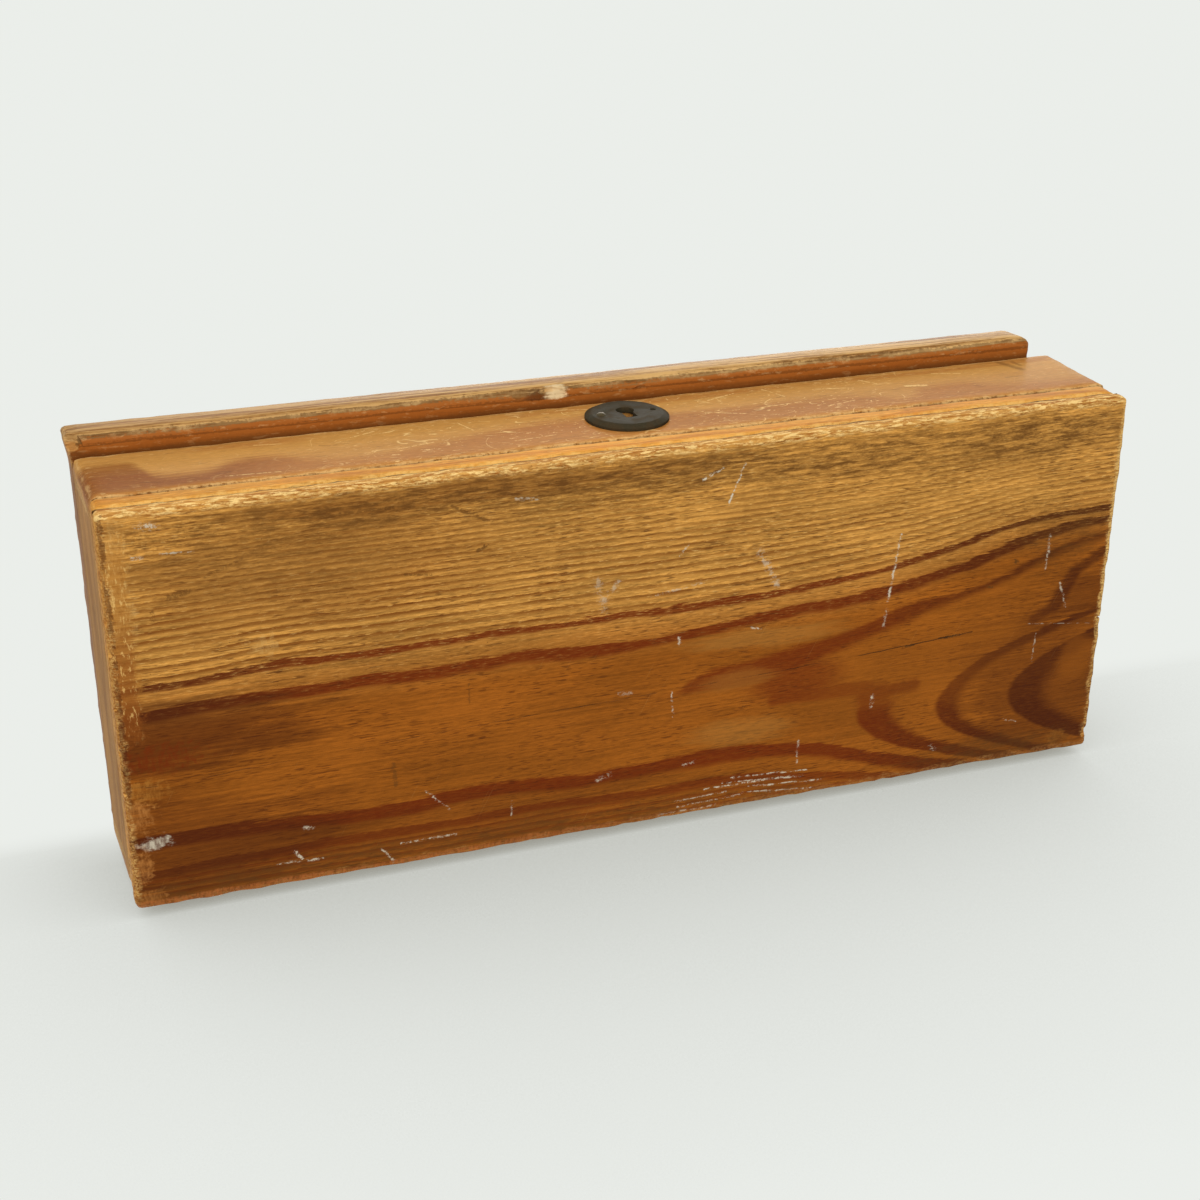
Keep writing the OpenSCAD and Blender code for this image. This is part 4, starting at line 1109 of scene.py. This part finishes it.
def wallPaint(place, ground, fibre):
    look = wallLook
    x, y, z = split(place)
    left = x - look["leftEnd"]
    height = z + nudge(fibre["Streak"], 7.0)
    outer = fade(y, -45.5, -46.5)
    border = handCurve(left, look["border"], *look["span"])
    away = height - border
    tone = grey(fade(fibre["Hair"], 0.3, 0.7, 0.88, 1.12))
    red = colourMix(fade(left, 20.0, 55.0), look["leftRed"], look["red"])
    paint = colourMix(fade(away, -3.4, 3.4), red, look["tan"])
    upper = bandAround(height, 33.8, 1.6, 1.6) * fade(fibre["Cloud"], 0.40, 0.55, 0.0, 0.7)
    paint = colourMix(upper, paint, look["red"])
    paint = colourMix(fade(z, 14.5, 11.5, 0.0, 0.6), paint, look["foot"])
    paint = colourMix(1.0, paint, tone, "MULTIPLY")
    ground.lay(outer * 0.8, paint)
    flecks = noise(place, (0.42, 1.2, 1.5), 3.0, 0.7)
    busy = fade(left, 44.0, 66.0, 0.2, 1.0) * fade(left, 190.0, 210.0, 1.0, 0.3)
    outer *= busy
    flecks = fade(flecks, 0.62, 0.68, 0.0, 0.7) * outer
    ground.lay(flecks, look["pale"])
    lines = hairlines(place, 0.10, 0.010, 0.6)
    lines = larger(lines, hairlines(scaled(place, (0.6, 1.0, 1.4)), 0.21, 0.014, 0.7))
    ground.lay(lines * outer, look["pale"])
    seam = fade(z + nudge(fibre["Grit"], 0.5), 11.3, 10.95, 0.0, 0.8)
    ground.lay(seam, look["seam"])
    broken = fade(fibre["Grit"], 0.36, 0.52, 0.0, 0.9)
    flat = joined(left + nudge(fibre["Grit"], 1.2), z, y - look["frontEdge"])
    ground.lay(markLayer(flat, wallMarks["pale"], broken), look["pale"])
    smudged = fade(fibre["Hair"], 0.2, 0.7, 0.35, 0.9)
    ground.lay(markLayer(flat, wallMarks["dark"], smudged), look["grime"])


# the darkest underside colour is painted shade, partly dirt, for the lip by the wall and the lid's left end
lidLook = dict(
    front=tint(204, 164, 104), frontDark=tint(132, 90, 44), under=tint(150, 84, 30),
    underDark=tint(104, 56, 20), line=tint(58, 32, 14), torn=tint(214, 190, 146),
)


def lidPaint(place, ground, fibre):
    look = lidLook
    x, y, z = split(place)
    ragged = nudge(fibre["Grit"], 1.2) + nudge(fibre["Streak"], 2.0)
    # the greyed front, the orange underside lip, and painted shade, partly dirt, on the lip towards the wall
    face = fade(y, -50.6, -51.4)
    grain = fade(fibre["Streak"] + nudge(fibre["Hair"], 0.3), 0.36, 0.58)
    grain *= fade(x, -120.0, 60.0, 0.62, 1.0)
    ground.lay(face * 0.88, colourMix(grain, look["frontDark"], look["front"]))
    lip = fade(z + ragged, 38.5, 38.0) * fade(y, -40.5, -42.0)
    reach = y + ragged
    # the lip darkens towards the wall: painted shade of the gap, partly dirt
    shadedLipColour = colourMix(fade(reach, -49.8, -47.8), look["under"], look["underDark"])
    ground.lay(lip * 0.92, shadedLipColour)
    seam = bandAround(reach, -50.4, 0.35, 0.35) * lip
    ground.lay(seam * 0.4, look["line"])
    arris = bandAround(z + ragged, 38.5, 0.4, 0.4) * fade(y, -49.8, -50.6)
    ground.lay(arris * 0.55, look["line"])
    # painted shade, partly dirt, on the lid's left end face, away from its front
    end = fade(x, -121.8, -122.8) * fade(y, -47.0, -42.0, 0.0, 0.5)
    ground.lay(end, look["underDark"])
    torn = patchAt(place, (-10.5, -51.6, 38.2), (2.8, 2.2, 2.0), ragged)
    # painted shade: the dark hollow of the torn chip
    chipHoleShade = patchAt(place, (-15.5, -51.2, 37.8), (3.4, 1.6, 1.2), ragged)
    ground.lay(chipHoleShade * 0.65, look["line"])
    ground.lay(torn * 0.85, look["torn"])


def panelPaint(place, ground, fibre):
    x, y, z = split(place)
    # a dirty joint line on top and under the board, glowing varnish between
    away = abs(z - bottomPanel["middle"])
    joint = fade(away + nudge(fibre["Grit"], 0.8), 2.6, 2.95)
    rim = fade(larger(abs(x), abs(y) + 76.5), 122.5, 123.5)
    dirty = joint * rim
    ground.lay(dirty * 0.85, bottomPanel["seam"])


letIn = 0.1 * mm  # room round the ironwork
past = 2.0 * mm  # how far a cut runs past the face that it opens


def lockCuts():
    plateLow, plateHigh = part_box("lock_plate")
    caseLow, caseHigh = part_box("lock_case")
    back = plateHigh.y + past
    top = plateHigh.z + past

    def pocket(xLow, xHigh, front, foot):
        return lambda: addBlock((xLow - letIn, front, foot), (xHigh + letIn, back, top))

    return [
        pocket(plateLow.x, plateHigh.x, caseHigh.y, plateLow.z - letIn),
        pocket(plateLow.x, plateHigh.x, plateLow.y - letIn, caseHigh.z),
        pocket(caseLow.x, caseHigh.x, caseLow.y - letIn, caseLow.z - letIn),
    ]


keyhole = dict(round=2.2, slot=2.8, drop=5.0, room=0.3, rise=1.5)  # mm


def keyMiddle():
    low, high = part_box("escutcheon")
    middle = (low + high) / 2
    return middle + Vector((0, 0, keyhole["rise"] * mm))


def keyCuts(yFrom, yTo, room):
    middle = keyMiddle()
    radius = (keyhole["round"] + room) * mm
    half = (keyhole["slot"] / 2 + room) * mm
    foot = middle.z - (keyhole["drop"] + room) * mm
    centre = Vector((middle.x, (yFrom + yTo) / 2, middle.z))
    return [
        lambda: addRod(centre, radius, yTo - yFrom, "y"),
        lambda: addBlock((middle.x - half, yFrom, foot), (middle.x + half, yTo, middle.z)),
    ]


hingeBed = dict(room=0.3, under=0.15, leaf=1.0, deep=3.0)  # mm


def hingeCuts(side, leafNode, upward):
    leafLow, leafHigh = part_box(leafNode)
    pinLow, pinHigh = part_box(side + "_hinge_pin")
    axis = (pinLow + pinHigh) / 2
    room = hingeBed["room"] * mm
    radius = (leafHigh.y - axis.y) + room
    # the leaf lies in a flat bed, the knuckles in a groove
    floor = axis.z - upward * (hingeBed["under"] + hingeBed["leaf"]) * mm
    zs = sorted((floor, floor + upward * hingeBed["deep"] * mm))
    return [
        lambda: addBlock(
            (leafLow.x - letIn, leafLow.y - letIn, zs[0]), (leafHigh.x + letIn, leafHigh.y + past, zs[1])
        ),
        lambda: addRod(axis, radius, (pinHigh.x - pinLow.x) + 2 * room, "x"),
    ]


def linkCut():
    low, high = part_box("link_plate")
    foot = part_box("link_plate_screws")[0].z - past
    return [lambda: addBlock(
        (low.x - letIn, low.y - letIn, foot), (high.x + letIn, high.y + letIn, high.z)
    )]


wallLow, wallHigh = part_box("front_wall")
frontWall["letIn"] = lockCuts() + keyCuts(wallLow.y - past, wallHigh.y, keyhole["room"])
backWall["letIn"] = [
    cut for side in ("left", "right") for cut in hingeCuts(side, side + "_hinge_box_leaf", 1)
]
lidBoard["letIn"] = linkCut() + [
    cut for side in ("left", "right") for cut in hingeCuts(side, side + "_hinge_lid_leaf", -1)
]

rightEnd = dict(endWalls, radii=dict(endWalls["radii"], y=(0.2, 0.2, 0.9, 0.4)))

for name, node, body, slot, board, finish, extra in (
    ("wornBottomPanel", "bottom_panel", "box", "pine_panel", bottomPanel, "panelPine", panelPaint),
    ("wornFrontWall", "front_wall", "box", "pine_wall", frontWall, "wallPine", wallPaint),
    ("wornBackWall", "back_wall", "box", "pine_wall", backWall, "backPine", None),
    ("wornLeftEnd", "left_end", "box", "pine_wall", endWalls, "left_endPine", None),
    ("wornRightEnd", "right_end", "box", "pine_wall", rightEnd, "right_endPine", None),
    ("wornLid", "lid_board", "lid", "pine_lid", lidBoard, "lidPine", lidPaint),
):
    buildBoard(name, node, body, board, boardPine(finish, node, board, extra))


# ironwork

metals = dict(
    dark_iron=dict(
        colour=tint(56, 50, 36), stain=tint(74, 54, 32),
        metallic=0.0, roughness=0.42, stainAmount=0.3, shine=0.012,
    ),
    worn_steel=dict(
        colour=tint(150, 146, 138), stain=tint(104, 74, 50),
        metallic=1.0, roughness=0.36, stainAmount=0.45, shine=0.5,
    ),
    pin_steel=dict(
        colour=tint(84, 74, 54), stain=tint(56, 42, 28),
        metallic=1.0, roughness=0.42, stainAmount=0.7, shine=0.5,
    ),
    old_brass=dict(
        colour=tint(186, 150, 84), stain=tint(96, 74, 40),
        metallic=1.0, roughness=0.38, stainAmount=0.4, shine=0.5,
    ),
)


metalBump = (0.35, 0.08)  # strength, mm


def metalFinish(name, metal):
    material, tree, shader = newMaterial(name, metal["shine"])
    place = placeInMillimetres(tree)
    fine = noise(place, 2.4, 5.0, 0.65)
    slow = noise(place, 0.35, 3.0, 0.6)
    stained = fade(slow, 0.42, 0.66) * metal["stainAmount"]
    shadeTone = fade(fine, 0.3, 0.7, 0.8, 1.2)
    colour = colourMix(1.0, metal["colour"], grey(shadeTone), "MULTIPLY")
    colour = colourMix(stained, colour, metal["stain"])
    shader.inputs["Metallic"].default_value = metal["metallic"]
    rough = metal["roughness"] + stained * 0.5
    rough += nudge(fine, 0.25)
    dress(tree, shader, colour, rough, fine, metalBump)
    return material


metalMaterials = {slot: metalFinish(slot + "Finish", metal) for slot, metal in metals.items()}

escutcheonPlate = dict(
    sides=128, rim=1.5, fall=0.75, soften=0.14, softenAngle=22.0, pinHole=0.73, pinSpread=6.5
)  # mm, degrees


def buildEscutcheon():
    plate = escutcheonPlate
    low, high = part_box("escutcheon")
    middle = (low + high) / 2
    thick = high.y - low.y
    reach = (high.x - low.x) / 2
    piece = addRod(middle, reach, thick, "y", plate["sides"])
    piece.name = "keyholePlate"
    bpy.ops.object.mode_set(mode="EDIT")
    bpy.ops.mesh.select_all(action="DESELECT")
    mesh = bmesh.from_edit_mesh(piece.data)
    for face in mesh.faces:
        face.select_set(face.normal.y < -0.9)
    bmesh.update_edit_mesh(piece.data)
    bpy.ops.mesh.inset(thickness=plate["rim"] * mm)
    bpy.ops.mesh.select_all(action="DESELECT")
    mesh = bmesh.from_edit_mesh(piece.data)
    for vertex in mesh.verts:  # the outer ring falls back, so the face slopes to a thin rim
        spread = math.hypot(vertex.co.x - middle.x, vertex.co.z - middle.z)
        vertex.select_set(vertex.co.y < middle.y and spread > reach * 0.98)
    mesh.select_flush(True)
    bmesh.update_edit_mesh(piece.data)
    bpy.ops.transform.translate(value=(0, plate["fall"] * mm, 0))
    bpy.ops.object.mode_set(mode="OBJECT")
    for cutter in keyCuts(low.y - past, high.y + past, 0.0):
        cutAway(piece, cutter())
    for side in (-1, 1):
        spot = middle + Vector((side * plate["pinSpread"] * mm, 0, 0))
        cutAway(piece, addRod(spot, plate["pinHole"] * mm, thick + 2 * past, "y"))
    limit = math.radians(plate["softenAngle"])
    width = plate["soften"] * mm
    applyModifier(piece, "BEVEL", limit_method="ANGLE", angle_limit=limit, width=width, segments=2)
    finishBoard(piece, "escutcheon", "box", metalMaterials["dark_iron"])


buildEscutcheon()

for row in frame["record"]["subparts"]:
    node = frame["nodes"][row["node"]]
    slot = "pin_steel" if row["node"] == "escutcheon_pins" else row.get("material_slot")
    if slot in metalMaterials:
        if not node.material_slots:
            node.data.materials.append(metalMaterials[slot])
        for place in node.material_slots:
            place.material = metalMaterials[slot]
print("ironwork finished")
